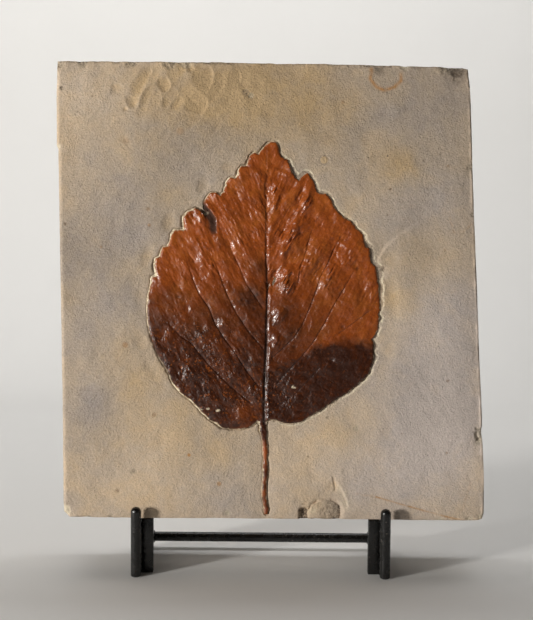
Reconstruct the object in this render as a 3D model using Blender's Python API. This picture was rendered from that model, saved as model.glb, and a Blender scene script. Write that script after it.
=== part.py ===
# Fossil leaf plate: a stone slab with a sunk fossil leaf, leaning in a stand welded from round rod
import math

import bmesh
import bpy
import numpy as np
from mathutils import Vector
from mathutils.geometry import delaunay_2d_cdt

for old in list(bpy.data.objects):
    bpy.data.objects.remove(old, do_unlink=True)

# Main sizes in metres and degrees
MM = 0.001
TRACE_STEP = 0.55 * MM
TRACE_X0 = 266.5
TRACE_Y0 = 310.0
SET_TURN = math.radians(0.5)
LEAN = math.radians(4.0)
FACE_X = -0.00198
FACE_Y = -0.01922
FACE_Z = 0.1455
SLAB_BOTTOM = -0.1150
SLAB_THICK = 0.0425
CONTACT_THICK = 0.0469
POCKET_FLOOR = -0.0023
LEAF_UNDERSIDE = -0.0019
LEAF_TOP = -0.0003
MOAT_LEFT = 0.0014
MOAT_RIGHT = 0.0030
VEIN_DEPTH = 0.00055
ROD_R = 0.0028
ROD_SIDES = 20
JOINT_GAP = 0.0003
PRONG_N = 0.0062
POST_N = -0.0500
PLATE_THICK = 0.0040
LEG_WIDE = 0.0064
LEG_DEEP = 0.0046
LEG_FRONT_N = -0.0004
LEFT_X = -0.0701
RIGHT_X = 0.0659
PRONG_TOP = 0.0386
POST_TOP = 0.0400
LOW_BAR_Z = 0.0070
HIGH_BAR_V = 0.0300

# Slab outline, traced from the upper left corner round by the right, in steps of 0.55 mm, x right and y down
SLAB_TRACE = [
    (57, 60.5), (120, 61), (190, 61.8), (250, 62.5), (320, 63.4), (395, 65.2), (440, 66.2), (463, 66.6), (468.5, 69),
    (471, 100), (472.4, 150), (474, 200), (476, 250), (478, 300), (480, 360), (482, 400), (484, 480), (484.2, 521.1),
    (69, 517.5), (63.2, 512), (62.9, 480), (62, 400), (61, 340), (60, 280), (58.5, 190), (57.9, 149), (56.2, 145),
    (56, 100),
]

# Leaf margin, traced from the tip down the left side to the stalk
LEAF_LEFT = [
    (272, 142), (268, 143), (264, 148), (260.5, 152), (259.3, 154.5), (254, 152.8), (250.2, 156), (248.5, 161),
    (247.7, 166.3), (241.5, 166.5), (239, 170), (238.5, 175), (236.5, 178.3), (230.3, 178), (227.4, 181.4),
    (225.3, 187.2), (224, 192), (220.7, 195), (216.6, 193), (210.8, 193), (207.9, 196.3), (205, 202), (205.2, 207.5),
    (208.6, 213.5), (205.5, 215.5), (201, 211.2), (195.5, 208.2),
    (192.9, 210.4), (187.8, 212), (183.4, 217), (184, 223), (184.6, 229.5), (183, 230.5), (180, 230.5), (174.5, 230),
    (172, 234), (170.6, 240.4), (168, 246.8), (163.3, 247.4), (161.7, 251.2), (160.4, 256.6), (155.6, 259),
    (155, 264), (156, 271), (157, 275.5), (152, 277.4), (151.5, 283), (150.3, 290), (148, 297), (147.5, 310),
    (148, 320), (149.5, 330), (152.3, 341), (156.5, 350), (160.4, 358.6), (163.5, 363), (168, 370.8), (171.5, 380),
    (176.2, 386.6), (180.5, 392), (186, 396.3), (191, 399.4), (197, 405.5), (201.2, 411), (206, 415), (210.4, 419.8),
    (216, 422), (221.6, 427), (229.8, 429), (236, 428.5), (240.3, 429.4), (246.3, 428.3), (250, 427), (254.4, 424),
    (257.7, 420.7),
]

# Leaf margin, traced from the stalk up the right side to the tip
LEAF_RIGHT = [
    (269, 419), (275, 420), (280, 421.3), (284.2, 422.9), (290.2, 423.2), (296.2, 422.7), (301.6, 421.3),
    (305.9, 418.6), (313.5, 414.2), (319.5, 411), (324.4, 407.2), (329.8, 403.9), (334.7, 400.1), (339.5, 397.4),
    (347, 393.1), (352.3, 389.4), (357, 385.5), (360.7, 381.7), (365, 377.9), (368, 374.1), (370.2, 370),
    (371.9, 364.5), (373.5, 360), (374, 354.6), (373.5, 350), (373.7, 345.7), (372.8, 341.3), (371.4, 338.6),
    (373.2, 337.7), (375.9, 333.2), (377.7, 329.6), (378.5, 325), (378.1, 321.6), (380, 318), (378.6, 313.6),
    (380, 310), (379.4, 299), (379, 292), (378.6, 286), (377.3, 278.7), (376.4, 271.7), (375.2, 266), (371.3, 263.4),
    (370, 259), (370, 254), (369.2, 248.1), (365.8, 246.6), (363.9, 241.2), (363.1, 235.9), (360.4, 231.3),
    (356.6, 228.2), (353.6, 224.4), (350, 220), (347, 219.4), (342.8, 216.7), (339.4, 212.9), (336, 209),
    (333.4, 204.8), (331.4, 200.8), (329.1, 196.8), (325.2, 193.6), (320.2, 193.2), (316.5, 191.5), (315.6, 187.5),
    (313.5, 181.4), (310, 176.3), (307.8, 173.2), (304.9, 174.5), (301.5, 177.5), (299.3, 180.3), (295.4, 177.8),
    (292, 172.5), (289.6, 166), (287.9, 160.3), (284, 158), (281.2, 156.8), (279.3, 153.3), (278.3, 148.2),
    (276.5, 142.4),
]

# Stalk centre line and half widths, both in trace steps
STALK = [
    (263.4, 421.5, 3.4), (263.5, 435, 2.6), (265, 450, 2.2), (266, 462, 2.0), (265.5, 475, 1.9), (264.8, 490, 1.8),
    (264.5, 500, 1.7), (266, 508, 1.6), (266.2, 514.5, 1.5),
]

# Midrib and side veins
VEINS = [
    [(264.4, 417), (264.4, 377), (266.4, 328), (267, 288), (267.8, 249), (267.8, 219), (267.4, 189), (270, 166), (271, 148)],
    [(261, 309), (248.6, 286), (236.8, 264.4), (230.8, 248.6), (222, 225)],
    [(260, 347), (248.6, 331.7), (234.8, 310), (224.9, 288), (218, 270.4), (211, 250)],
    [(258, 386), (240.7, 361), (228.9, 345.5), (215, 321.8), (207, 306), (195.2, 286), (187.3, 266.4), (182, 248)],
    [(253, 404), (236.8, 391), (217, 373), (197, 349.5), (177.4, 331.7), (165.6, 317.8)],
    [(274, 355), (280.3, 350.4), (296, 333.6), (308, 310), (317.8, 284), (324.7, 266.4), (331.7, 252.6), (339.6, 236.8)],
    [(273, 389), (288, 373), (308, 349.5), (319.8, 331.7), (327.7, 319.8), (337.6, 302), (345.5, 284), (353.4, 270.4)],
    [(274, 408), (282, 403), (300, 387), (319.8, 367), (335.6, 355)],
    [(274, 312), (285, 290), (296, 268), (304, 256.5), (310, 240), (320, 217)],
]

# Shallow scrape marks on the front: centre x, centre y, radius and depth
SCOOPS = [
    (116, 88, 9, 0.9), (131, 101, 8, 0.9), (146, 75, 11, 1.0), (152, 92, 9, 0.9), (164, 80, 10, 1.0),
    (167, 102, 8, 0.8), (181, 109, 9, 0.8), (195, 77, 13, 1.1), (207, 101, 7, 0.6), (250, 96, 7, 0.5),
    (387, 79, 17, 0.5), (326, 502, 20, 0.9), (480, 435, 10, 1.2), (76, 512, 12, 0.9), (462, 74, 12, 0.8),
    (430, 70, 14, 0.7),
]

# Low swells on the rough back: x, height along the face, radius and rise
BACK_SWELLS = [
    (-0.085, 0.100, 0.040, 0.0025), (0.030, 0.095, 0.050, -0.0040), (0.100, 0.050, 0.030, 0.0015),
    (-0.020, 0.010, 0.045, 0.0020), (-0.095, -0.090, 0.035, -0.0045), (0.085, -0.085, 0.040, -0.0030),
    (0.010, -0.060, 0.035, 0.0022), (-0.045, 0.060, 0.025, -0.0020),
]


def material(name, colour, metallic, rough):
    made = bpy.data.materials.new(name)
    made.use_nodes = True
    shader = made.node_tree.nodes["Principled BSDF"]
    shader.inputs["Base Color"].default_value = (*colour, 1.0)
    shader.inputs["Metallic"].default_value = metallic
    shader.inputs["Roughness"].default_value = rough
    return made


def on_face(x, y):
    """A traced point as x and height on the slab's face, in metres, with the set turned level."""
    a = (x - TRACE_X0) * TRACE_STEP
    b = (TRACE_Y0 - y) * TRACE_STEP
    return a * math.cos(SET_TURN) - b * math.sin(SET_TURN), a * math.sin(SET_TURN) + b * math.cos(SET_TURN)


def in_space(x, v, n):
    """Face coordinates to the shared frame: x to the right, v up the leaning face, n out of the face."""
    y = FACE_Y + v * math.sin(LEAN) - n * math.cos(LEAN)
    z = FACE_Z + v * math.cos(LEAN) + n * math.sin(LEAN)
    return (FACE_X + x, y, z)


def trace(points):
    return np.array([on_face(*p[:2]) for p in points])


def spaced(points, step, closed=True):
    """Points along a line or loop, no further apart than the step."""
    out = []
    count = len(points) if closed else len(points) - 1
    for i in range(count):
        a = points[i]
        b = points[(i + 1) % len(points)]
        parts = max(1, int(math.ceil(np.linalg.norm(b - a) / step)))
        out.extend(a + (b - a) * k / parts for k in range(parts))
    if not closed:
        out.append(points[-1])
    return np.array(out)


def inside(points, loop):
    x = points[:, 0][:, None]
    y = points[:, 1][:, None]
    a = loop
    b = np.roll(loop, -1, axis=0)
    rise = np.where(a[:, 1] == b[:, 1], 1e-12, b[:, 1] - a[:, 1])
    crosses = (a[:, 1] > y) != (b[:, 1] > y)
    at = (b[:, 0] - a[:, 0]) * (y - a[:, 1]) / rise + a[:, 0]
    return (crosses & (x < at)).sum(axis=1) % 2 == 1


def distance(points, line, closed=True):
    a = line if closed else line[:-1]
    b = np.roll(line, -1, axis=0) if closed else line[1:]
    ab = b - a
    length2 = np.maximum((ab**2).sum(axis=1), 1e-18)
    best = np.full(len(points), 1e9)
    for i in range(len(a)):
        t = np.clip(((points - a[i]) @ ab[i]) / length2[i], 0, 1)
        near = a[i] + t[:, None] * ab[i]
        best = np.minimum(best, np.linalg.norm(points - near, axis=1))
    return best


def thinned(points, tolerance):
    """Drops the points of an open line that lie nearer than the tolerance to the line through the rest."""
    if len(points) < 3:
        return points
    a = points[0]
    b = points[-1]
    off = distance(points, np.array([a, b]), closed=False)
    worst = int(np.argmax(off))
    if off[worst] < tolerance:
        return np.array([a, b])
    first = thinned(points[: worst + 1], tolerance)
    second = thinned(points[worst:], tolerance)
    return np.vstack([first[:-1], second])


def thinned_loop(loop, tolerance):
    half = len(loop) // 2
    first = thinned(loop[: half + 1], tolerance)
    second = thinned(np.vstack([loop[half:], loop[:1]]), tolerance)
    return np.vstack([first[:-1], second[:-1]])


def crossing(a, b, c, d):
    """Where two segments cross, or None."""
    r = b - a
    s = d - c
    spread = r[0] * s[1] - r[1] * s[0]
    if abs(spread) < 1e-15:
        return None
    t = ((c[0] - a[0]) * s[1] - (c[1] - a[1]) * s[0]) / spread
    u = ((c[0] - a[0]) * r[1] - (c[1] - a[1]) * r[0]) / spread
    return a + r * t if 0 < t < 1 and 0 < u < 1 else None


def untwisted(loop):
    """Cuts off the small twists where a loop crosses itself."""
    line = [p for p in loop]
    i = 0
    while i < len(line) - 12:
        for gap in range(2, 11):
            met = crossing(line[i], line[i + 1], line[i + gap], line[i + gap + 1])
            if met is not None:
                line[i + 1 : i + gap + 1] = [met]
                break
        i += 1
    kept = [line[0]]
    for p in line[1:]:
        if np.linalg.norm(p - kept[-1]) > 0.5 * MM:
            kept.append(p)
    return np.array(kept)


def grown(loop, width_at):
    """A loop set outside another by a width that may vary, with the folds at inner corners removed."""
    line = spaced(loop, 0.6 * MM)
    ahead = np.roll(line, -1, axis=0) - np.roll(line, 1, axis=0)
    normal = np.c_[ahead[:, 1], -ahead[:, 0]]
    normal /= np.linalg.norm(normal, axis=1)[:, None]
    if inside(line[:1] + normal[:1] * 0.02 * MM, loop)[0]:
        normal = -normal
    width = width_at(line)
    moved = line + normal * width[:, None]
    keep = (distance(moved, loop) > 0.93 * width) & ~inside(moved, loop)
    return untwisted(thinned_loop(moved[keep], 0.10 * MM))


def lattice(low, high, step, seed):
    """Staggered points over a box, each moved a little from its place."""
    rng = np.random.default_rng(seed)
    rows = []
    y = low[1]
    odd = False
    while y < high[1]:
        xs = np.arange(low[0] + (0.5 * step if odd else 0.0), high[0], step)
        rows.append(np.c_[xs, np.full(len(xs), y)])
        y += step * 0.866
        odd = not odd
    points = np.vstack(rows)
    return points + rng.uniform(-0.12, 0.12, points.shape) * step


def triangles(loops, extra):
    """Triangle net through closed loops and loose points."""
    points = np.vstack([*loops, extra]) if len(extra) else np.vstack(loops)
    edges = []
    start = 0
    for loop in loops:
        count = len(loop)
        edges.extend((start + i, start + (i + 1) % count) for i in range(count))
        start += count
    result = delaunay_2d_cdt([Vector(p) for p in points / MM], edges, [], 1, 1e-5)
    flat = np.array([tuple(v) for v in result[0]]) * MM
    return flat, [tuple(f) for f in result[2]]


def rim_edges(faces):
    """The edges that only one face uses, in that face's own direction."""
    used = {}
    for face in faces:
        for i in range(len(face)):
            a = face[i]
            b = face[(i + 1) % len(face)]
            used[(a, b)] = True
    return [edge for edge in used if (edge[1], edge[0]) not in used]


def solid(name, points, faces, paint):
    mesh = bpy.data.meshes.new(name)
    mesh.from_pydata([tuple(p) for p in points], [], faces)
    box = bmesh.new()
    box.from_mesh(mesh)
    bmesh.ops.recalc_face_normals(box, faces=box.faces)
    box.to_mesh(mesh)
    box.free()
    mesh.materials.append(paint)
    made = bpy.data.objects.new(name, mesh)
    bpy.context.scene.collection.objects.link(made)
    return made


def bump(points, centre, radius):
    d = np.linalg.norm(points - np.array(centre), axis=1) / radius
    return np.where(d < 1.0, (1.0 - d**2) ** 2, 0.0)


# Loops shared by the slab and the leaf
stalk_line = trace(STALK)
stalk_half = np.array([s[2] for s in STALK]) * TRACE_STEP
stalk_left = stalk_line - np.c_[stalk_half, np.zeros(len(STALK))]
stalk_right = stalk_line + np.c_[stalk_half, np.zeros(len(STALK))]
leaf_loop = np.vstack([trace(LEAF_LEFT), stalk_left, stalk_right[::-1], trace(LEAF_RIGHT)])
slab_loop = trace(SLAB_TRACE)
slab_loop[17, 1] = SLAB_BOTTOM
slab_loop[18, 1] = SLAB_BOTTOM


def moat_width(points):
    share = np.clip((points[:, 0] - 0.5 * MM) / (40 * MM), 0, 1)
    above = np.clip((points[:, 1] + 70 * MM) / (20 * MM), 0, 1)
    return MOAT_LEFT + (MOAT_RIGHT - MOAT_LEFT) * share * above


moat_loop = grown(leaf_loop, moat_width)

# Front relief of the slab
def front_height(points):
    x = points[:, 0] / MM
    v = points[:, 1] / MM
    near = distance(points, moat_loop) / MM
    h = 0.35 * np.sin(x / 31.0 + 0.6) * np.cos(v / 37.0 - 0.4)
    h += 0.22 * np.sin(x / 13.0 - v / 17.0)
    h -= 0.75 * np.exp(-near / 7.0)
    h += 0.35 * np.exp(-(((x - 75.0) / 9.0) ** 2)) * (np.abs(v + 8.0) < 62.0)
    for cx, cy, radius, depth in SCOOPS:
        h -= depth * bump(points, on_face(cx, cy), radius * TRACE_STEP * 1.25)
    edge = distance(points, slab_loop) / MM
    h -= 0.7 * np.exp(-edge / 1.6)
    return np.minimum(h, 0.35) * MM - 0.35 * MM


def back_height(points):
    x = points[:, 0]
    v = points[:, 1]
    rough = np.random.default_rng(11)
    t = SLAB_THICK + 0.0010 * np.sin(x * 62.0 + 1.0) * np.sin(v * 55.0) + rough.uniform(-0.0011, 0.0011, len(x))
    for cx, cv, radius, rise in BACK_SWELLS:
        t = t + rise * bump(points, (cx, cv), radius)
    for cx in (LEFT_X, RIGHT_X):
        blend = bump(points, (cx, 0.012), 0.030)
        t = t * (1.0 - blend) + CONTACT_THICK * blend
    return -np.minimum(t, CONTACT_THICK)


# Slab: worked front with the sunk pocket, sawn sides and rough back
outer = spaced(slab_loop, 7.0 * MM)
rim = spaced(moat_loop, 5.5 * MM)
grid = lattice(slab_loop.min(axis=0), slab_loop.max(axis=0), 6.3 * MM, 3)
grid = grid[inside(grid, slab_loop) & (distance(grid, slab_loop) > 2.6 * MM)]
grid = grid[~inside(grid, moat_loop) & (distance(grid, moat_loop) > 2.4 * MM)]
flat, faces = triangles([outer, rim], grid)
centres = np.array([flat[list(f)].mean(axis=0) for f in faces])
sunk = inside(centres, moat_loop)
front_faces = [f for f, s in zip(faces, sunk) if not s]
floor_faces = [f for f, s in zip(faces, sunk) if s]
heights = front_height(flat)
points = [in_space(p[0], p[1], h) for p, h in zip(flat, heights)]
floor_ids = {}
for f in floor_faces:
    for i in f:
        if i not in floor_ids:
            floor_ids[i] = len(points)
            points.append(in_space(flat[i][0], flat[i][1], POCKET_FLOOR))
body = list(front_faces)
body.extend(tuple(floor_ids[i] for i in f) for f in floor_faces)
body.extend((a, b, floor_ids[b], floor_ids[a]) for a, b in rim_edges(floor_faces))

back_grid = lattice(slab_loop.min(axis=0), slab_loop.max(axis=0), 11.5 * MM, 5)
back_grid = back_grid[inside(back_grid, slab_loop) & (distance(back_grid, slab_loop) > 5.0 * MM)]
back_flat, back_faces = triangles([outer], back_grid)
back_heights = back_height(back_flat)
start = len(points)
points.extend(in_space(p[0], p[1], h) for p, h in zip(back_flat, back_heights))
body.extend(tuple(start + i for i in reversed(f)) for f in back_faces)
count = len(outer)
body.extend((i, (i + 1) % count, start + (i + 1) % count, start + i) for i in range(count))
stone = material("matrix_stone", (0.36, 0.28, 0.20), 0.0, 0.85)
solid("matrix_slab", points, body, stone)

# Leaf: a low island with grooved veins, standing in the pocket
veins = [trace(v) for v in VEINS]


def leaf_height(points):
    near = np.min([distance(points, v, closed=False) for v in veins], axis=0)
    edge = distance(points, leaf_loop)
    h = LEAF_TOP + 0.25 * MM * (1.0 - np.exp(-((near / (3.2 * MM)) ** 2)))
    h = h - VEIN_DEPTH * np.exp(-((near / (0.9 * MM)) ** 2))
    return h - 0.25 * MM * np.exp(-edge / (0.8 * MM))


leaf_rim = spaced(leaf_loop, 5.5 * MM)
ribs = []
for v in veins:
    centre = spaced(v, 4.6 * MM, closed=False)
    ahead = np.gradient(centre, axis=0)
    side = np.c_[-ahead[:, 1], ahead[:, 0]]
    side /= np.linalg.norm(side, axis=1)[:, None]
    ribs.append(centre)
    ribs.append(centre + side * 1.7 * MM)
    ribs.append(centre - side * 1.7 * MM)
loose = lattice(leaf_loop.min(axis=0), leaf_loop.max(axis=0), 5.4 * MM, 7)
loose = loose[np.min([distance(loose, v, closed=False) for v in veins], axis=0) > 3.4 * MM]
kept = []
for p in np.vstack([*ribs, loose]):
    if not kept or np.min(np.linalg.norm(np.array(kept) - p, axis=1)) > 1.25 * MM:
        kept.append(p)
kept = np.array(kept)
kept = kept[inside(kept, leaf_loop) & (distance(kept, leaf_loop) > 1.0 * MM)]
flat, faces = triangles([leaf_rim], kept)
heights = leaf_height(flat)
points = [in_space(p[0], p[1], h) for p, h in zip(flat, heights)]
under_flat, under_faces = triangles([leaf_rim], [])
start = len(points)
points.extend(in_space(p[0], p[1], LEAF_UNDERSIDE) for p in under_flat)
count = len(leaf_rim)
body = list(faces)
body.extend(tuple(start + i for i in reversed(f)) for f in under_faces)
body.extend((i, (i + 1) % count, start + (i + 1) % count, start + i) for i in range(count))
film = material("leaf_film", (0.14, 0.045, 0.018), 0.0, 0.3)
solid("fossil_leaf", points, body, film)

# Stand: round rods, two side plates and two flat legs, each a simple solid with a small gap at its welded joints
iron = material("black_iron", (0.012, 0.012, 0.011), 0.3, 0.5)


def rod(name, start, end, flat_foot=False, dome=False):
    """A round rod between two points, with bevelled ends, a foot cut level with the floor or a domed tip."""
    a = Vector(start)
    b = Vector(end)
    along = (b - a).normalized()
    guide = Vector((1, 0, 0)) if abs(along.x) < 0.9 else Vector((0, 1, 0))
    u = along.cross(guide).normalized()
    w = along.cross(u).normalized()
    bevel = 0.16 * ROD_R
    stations = []
    if flat_foot:
        stations.append((0.0, 1.0))
    else:
        stations.append((0.0, 1.0 - 0.16))
        stations.append((bevel, 1.0))
    length = (b - a).length
    if dome:
        for k in range(5):
            angle = math.radians(18 * k)
            stations.append((length - ROD_R + ROD_R * math.sin(angle), math.cos(angle)))
    else:
        stations.append((length - bevel, 1.0))
        stations.append((length, 1.0 - 0.16))
    points = []
    for k, (t, share) in enumerate(stations):
        for i in range(ROD_SIDES):
            turn = 2 * math.pi * (i + 0.5) / ROD_SIDES
            p = a + along * t + (u * math.cos(turn) + w * math.sin(turn)) * ROD_R * share
            if k == 0 and flat_foot:
                p = p - along * (p.z / along.z)
            points.append(tuple(p))
    body = [tuple(range(ROD_SIDES))[::-1]]
    for k in range(len(stations) - 1):
        for i in range(ROD_SIDES):
            j = (i + 1) % ROD_SIDES
            body.append((k * ROD_SIDES + i, k * ROD_SIDES + j, (k + 1) * ROD_SIDES + j, (k + 1) * ROD_SIDES + i))
    top = (len(stations) - 1) * ROD_SIDES
    body.append(tuple(range(top, top + ROD_SIDES)))
    return solid(name, points, body, iron)


def upright(name, middle, wide, profile):
    """A bar or plate that stands on edge, with the same four-cornered profile all across its width."""
    points = [(middle - 0.5 * wide, y, z) for y, z in profile]
    points += [(middle + 0.5 * wide, y, z) for y, z in profile]
    body = [(0, 1, 2, 3), (7, 6, 5, 4)] + [(i, i + 4, (i + 1) % 4 + 4, (i + 1) % 4) for i in range(4)]
    return solid(name, points, body, iron)


def side_plate(name, x):
    """A flat plate on edge between prong and post, from the floor up to the slab's underside."""
    top = SLAB_BOTTOM - JOINT_GAP
    front_top = in_space(x, top, PRONG_N - ROD_R - JOINT_GAP)
    rear_top = in_space(x, top, POST_N + ROD_R + JOINT_GAP)
    front_y = in_space(x, top, PRONG_N)[1] + ROD_R + JOINT_GAP
    drop = rear_top[2] / math.cos(LEAN)
    rear_low = in_space(x, top - drop, POST_N + ROD_R + JOINT_GAP)
    front_level = front_top[2] - (front_y - front_top[1]) * math.tan(LEAN)
    profile = [(front_y, 0.0), (rear_low[1], 0.0), (rear_top[1], rear_top[2]), (front_y, front_level)]
    return upright(name, front_top[0], PLATE_THICK, profile)


def front_leg(name, x, inward):
    """A flat bar on the inner face of a side plate, from the floor up to the slab's front edge."""
    middle = x + inward * (0.5 * PLATE_THICK + JOINT_GAP + 0.5 * LEG_WIDE)
    front = in_space(middle, SLAB_BOTTOM - JOINT_GAP, LEG_FRONT_N)
    rear = in_space(middle, SLAB_BOTTOM - JOINT_GAP, LEG_FRONT_N - LEG_DEEP)
    profile = [(front[1], 0.0), (rear[1], 0.0), (rear[1], rear[2]), (front[1], front[2])]
    return upright(name, front[0], LEG_WIDE, profile)


for side, x, inward in (("left", LEFT_X, 1), ("right", RIGHT_X, -1)):
    prong_at = in_space(x, SLAB_BOTTOM, PRONG_N)
    rod("prong_" + side, (prong_at[0], prong_at[1], 0.0), (prong_at[0], prong_at[1], PRONG_TOP), True, True)
    post_low = in_space(x, -FACE_Z / math.cos(LEAN), POST_N)
    slide = -post_low[2] / math.cos(LEAN)
    foot = in_space(x, -FACE_Z / math.cos(LEAN) + slide, POST_N)
    rod("post_" + side, foot, in_space(x, POST_TOP, POST_N), True, False)
    side_plate("side_plate_" + side, x)
    front_leg("front_leg_" + side, x, inward)
reach = ROD_R + JOINT_GAP
low_v = (LOW_BAR_Z - FACE_Z - POST_N * math.sin(LEAN)) / math.cos(LEAN)
rod("crossbar_low", in_space(LEFT_X + reach, low_v, POST_N), in_space(RIGHT_X - reach, low_v, POST_N))
rod("crossbar_high", in_space(LEFT_X + reach, HIGH_BAR_V, POST_N), in_space(RIGHT_X - reach, HIGH_BAR_V, POST_N))
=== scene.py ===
# Fossil leaf plate: the worked stone slab, the brown fossil leaf sunk in its face, and the black welded stand
import itertools
import math

import bmesh
import bpy
import numpy as np
from mathutils import Matrix, Vector
from mathutils.geometry import delaunay_2d_cdt


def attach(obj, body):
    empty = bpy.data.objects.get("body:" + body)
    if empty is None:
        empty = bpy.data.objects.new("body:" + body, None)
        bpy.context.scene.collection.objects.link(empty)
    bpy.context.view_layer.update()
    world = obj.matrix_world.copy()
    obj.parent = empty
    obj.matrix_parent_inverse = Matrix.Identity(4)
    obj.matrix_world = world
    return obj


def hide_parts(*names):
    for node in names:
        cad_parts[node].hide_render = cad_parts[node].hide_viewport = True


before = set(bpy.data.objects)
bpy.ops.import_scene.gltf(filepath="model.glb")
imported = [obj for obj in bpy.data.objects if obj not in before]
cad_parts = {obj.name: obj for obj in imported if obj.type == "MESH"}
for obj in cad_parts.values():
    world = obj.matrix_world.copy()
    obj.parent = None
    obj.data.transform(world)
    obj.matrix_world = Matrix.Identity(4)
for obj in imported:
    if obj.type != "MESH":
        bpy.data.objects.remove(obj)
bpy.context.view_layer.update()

# Main sizes in metres and degrees
MM = 0.001
TRACE_STEP = 0.55 * MM
TRACE_X0 = 266.5
TRACE_Y0 = 310.0
SET_TURN = math.radians(0.5)
LEAN = math.radians(4.0)
FACE_X = -0.00198
FACE_Y = -0.01922
FACE_Z = 0.1455
SLAB_BOTTOM = -0.1150
SLAB_THICK = 0.0425
CONTACT_THICK = 0.0469
LEAF_UNDERSIDE = -0.0019
ROD_R = 0.0028
JOINT_GAP = 0.0003
PRONG_N = 0.0062
POST_N = -0.0500
PLATE_THICK = 0.0040
LEG_WIDE = 0.0064
LEG_DEEP = 0.0046
LEG_FRONT_N = -0.0004
LEFT_X = -0.0701
RIGHT_X = 0.0659
PRONG_TOP = 0.0386
POST_TOP = 0.0400
LOW_BAR_Z = 0.0070
HIGH_BAR_V = 0.0300

# The floor along the leaning face, and the stand's weld seams: their drops, spacing and ends, in metres
FLOOR_V = -FACE_Z / math.cos(LEAN)
SEAM_DROP = 0.95 * MM
SEAM_SPACING = 0.75 * MM
SEAM_LOW = 0.0016
SEAM_BELOW = 1.2 * MM
SEAM_SUNK = 0.2 * MM
PLATE_SEAM_TOP = 0.0272
LEG_SEAM_TOP = 0.0265
RING_DROP = 1.45 * MM
RING_SPACING = 0.55 * MM

# Mesh spacings in metres
FACE_NET = 1.10 * MM
GOUGE_NET = 0.54 * MM
LEAF_NET = 0.54 * MM
GROOVE_NET = 0.50 * MM
EDGE_NET = 1.25 * MM
BACK_NET = 3.0 * MM
SIDE_ROWS = 18

# Widths of the fine nets round the leaf and along the right edge, and how far the back is set in
BAND_WIDE = 3.4 * MM
STRIP_WIDE = 2.0 * MM
BACK_LAP = 0.6 * MM

# Depths of the groove and of the leaf's edge, the leaf's height, and the factor on the gouges' depths
POCKET_DEEP = 1.95
SKIRT_DEEP = 1.80
LEAF_TOP = -0.30
GOUGE_DEPTH = 1.6

# Slab outline from the upper left corner round by the right, in trace steps, x right and y down
SLAB_TRACE = [
    (57, 60.5), (120, 61), (190, 61.8), (250, 62.5), (320, 63.4), (395, 65.2), (440, 66.2), (463, 66.6),
    (468.5, 69), (471, 100), (472.4, 150), (474, 200), (476, 250), (478, 300), (480, 360), (482, 400),
    (484, 480), (484.2, 521.1), (69, 517.5), (63.2, 512), (62.9, 480), (62, 400), (61, 340), (60, 280),
    (58.5, 190), (57.9, 149), (56.2, 145), (56, 100),
]

# The outline's two bottom corners, which are set level at the slab's underside
BOTTOM_CORNERS = [17, 18]

# Leaf margin from the tip down the left side to the stalk
LEAF_LEFT = [
    (272, 142), (268, 143), (264, 148), (260.5, 152), (259.3, 154.5), (254, 152.8), (250.2, 156),
    (248.5, 161), (247.7, 166.3), (241.5, 166.5), (239, 170), (238.5, 175), (236.5, 178.3), (230.3, 178),
    (227.4, 181.4), (225.3, 187.2), (224, 192), (220.7, 195), (216.6, 193), (210.8, 193), (207.9, 196.3),
    (205, 202), (205.2, 207.5), (208.6, 213.5), (205.5, 215.5), (201, 211.2), (195.5, 208.2), (192.9, 210.4),
    (187.8, 212), (183.4, 217), (184, 223), (184.6, 229.5), (183, 230.5), (180, 230.5), (174.5, 230),
    (172, 234), (170.6, 240.4), (168, 246.8), (163.3, 247.4), (161.7, 251.2), (160.4, 256.6), (155.6, 259),
    (155, 264), (156, 271), (157, 275.5), (152, 277.4), (151.5, 283), (150.3, 290), (148, 297), (147.5, 310),
    (148, 320), (149.5, 330), (152.3, 341), (156.5, 350), (160.4, 358.6), (163.5, 363), (168, 370.8),
    (171.5, 380), (176.2, 386.6), (180.5, 392), (186, 396.3), (191, 399.4), (197, 405.5), (201.2, 411),
    (206, 415), (210.4, 419.8), (216, 422), (221.6, 427), (229.8, 429), (236, 428.5), (240.3, 429.4),
    (246.3, 428.3), (250, 427), (254.4, 424), (257.7, 420.7),
]

# Leaf margin from the stalk up the right side to the tip
LEAF_RIGHT = [
    (269, 419), (275, 420), (280, 421.3), (284.2, 422.9), (290.2, 423.2), (296.2, 422.7), (301.6, 421.3),
    (305.9, 418.6), (313.5, 414.2), (319.5, 411), (324.4, 407.2), (329.8, 403.9), (334.7, 400.1),
    (339.5, 397.4), (347, 393.1), (352.3, 389.4), (357, 385.5), (360.7, 381.7), (365, 377.9), (368, 374.1),
    (370.2, 370), (371.9, 364.5), (373.5, 360), (374, 354.6), (373.5, 350), (373.7, 345.7), (372.8, 341.3),
    (371.4, 338.6), (373.2, 337.7), (375.9, 333.2), (377.7, 329.6), (378.5, 325), (378.1, 321.6), (380, 318),
    (378.6, 313.6), (380, 310), (379.4, 299), (379, 292), (378.6, 286), (377.3, 278.7), (376.4, 271.7),
    (375.2, 266), (371.3, 263.4), (370, 259), (370, 254), (369.2, 248.1), (365.8, 246.6), (363.9, 241.2),
    (363.1, 235.9), (360.4, 231.3), (356.6, 228.2), (353.6, 224.4), (350, 220), (347, 219.4), (342.8, 216.7),
    (339.4, 212.9), (336, 209), (333.4, 204.8), (331.4, 200.8), (329.1, 196.8), (325.2, 193.6),
    (320.2, 193.2), (316.5, 191.5), (315.6, 187.5), (313.5, 181.4), (310, 176.3), (307.8, 173.2),
    (304.9, 174.5), (301.5, 177.5), (299.3, 180.3), (295.4, 177.8), (292, 172.5), (289.6, 166),
    (287.9, 160.3), (284, 158), (281.2, 156.8), (279.3, 153.3), (278.3, 148.2), (276.5, 142.4),
]

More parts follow.
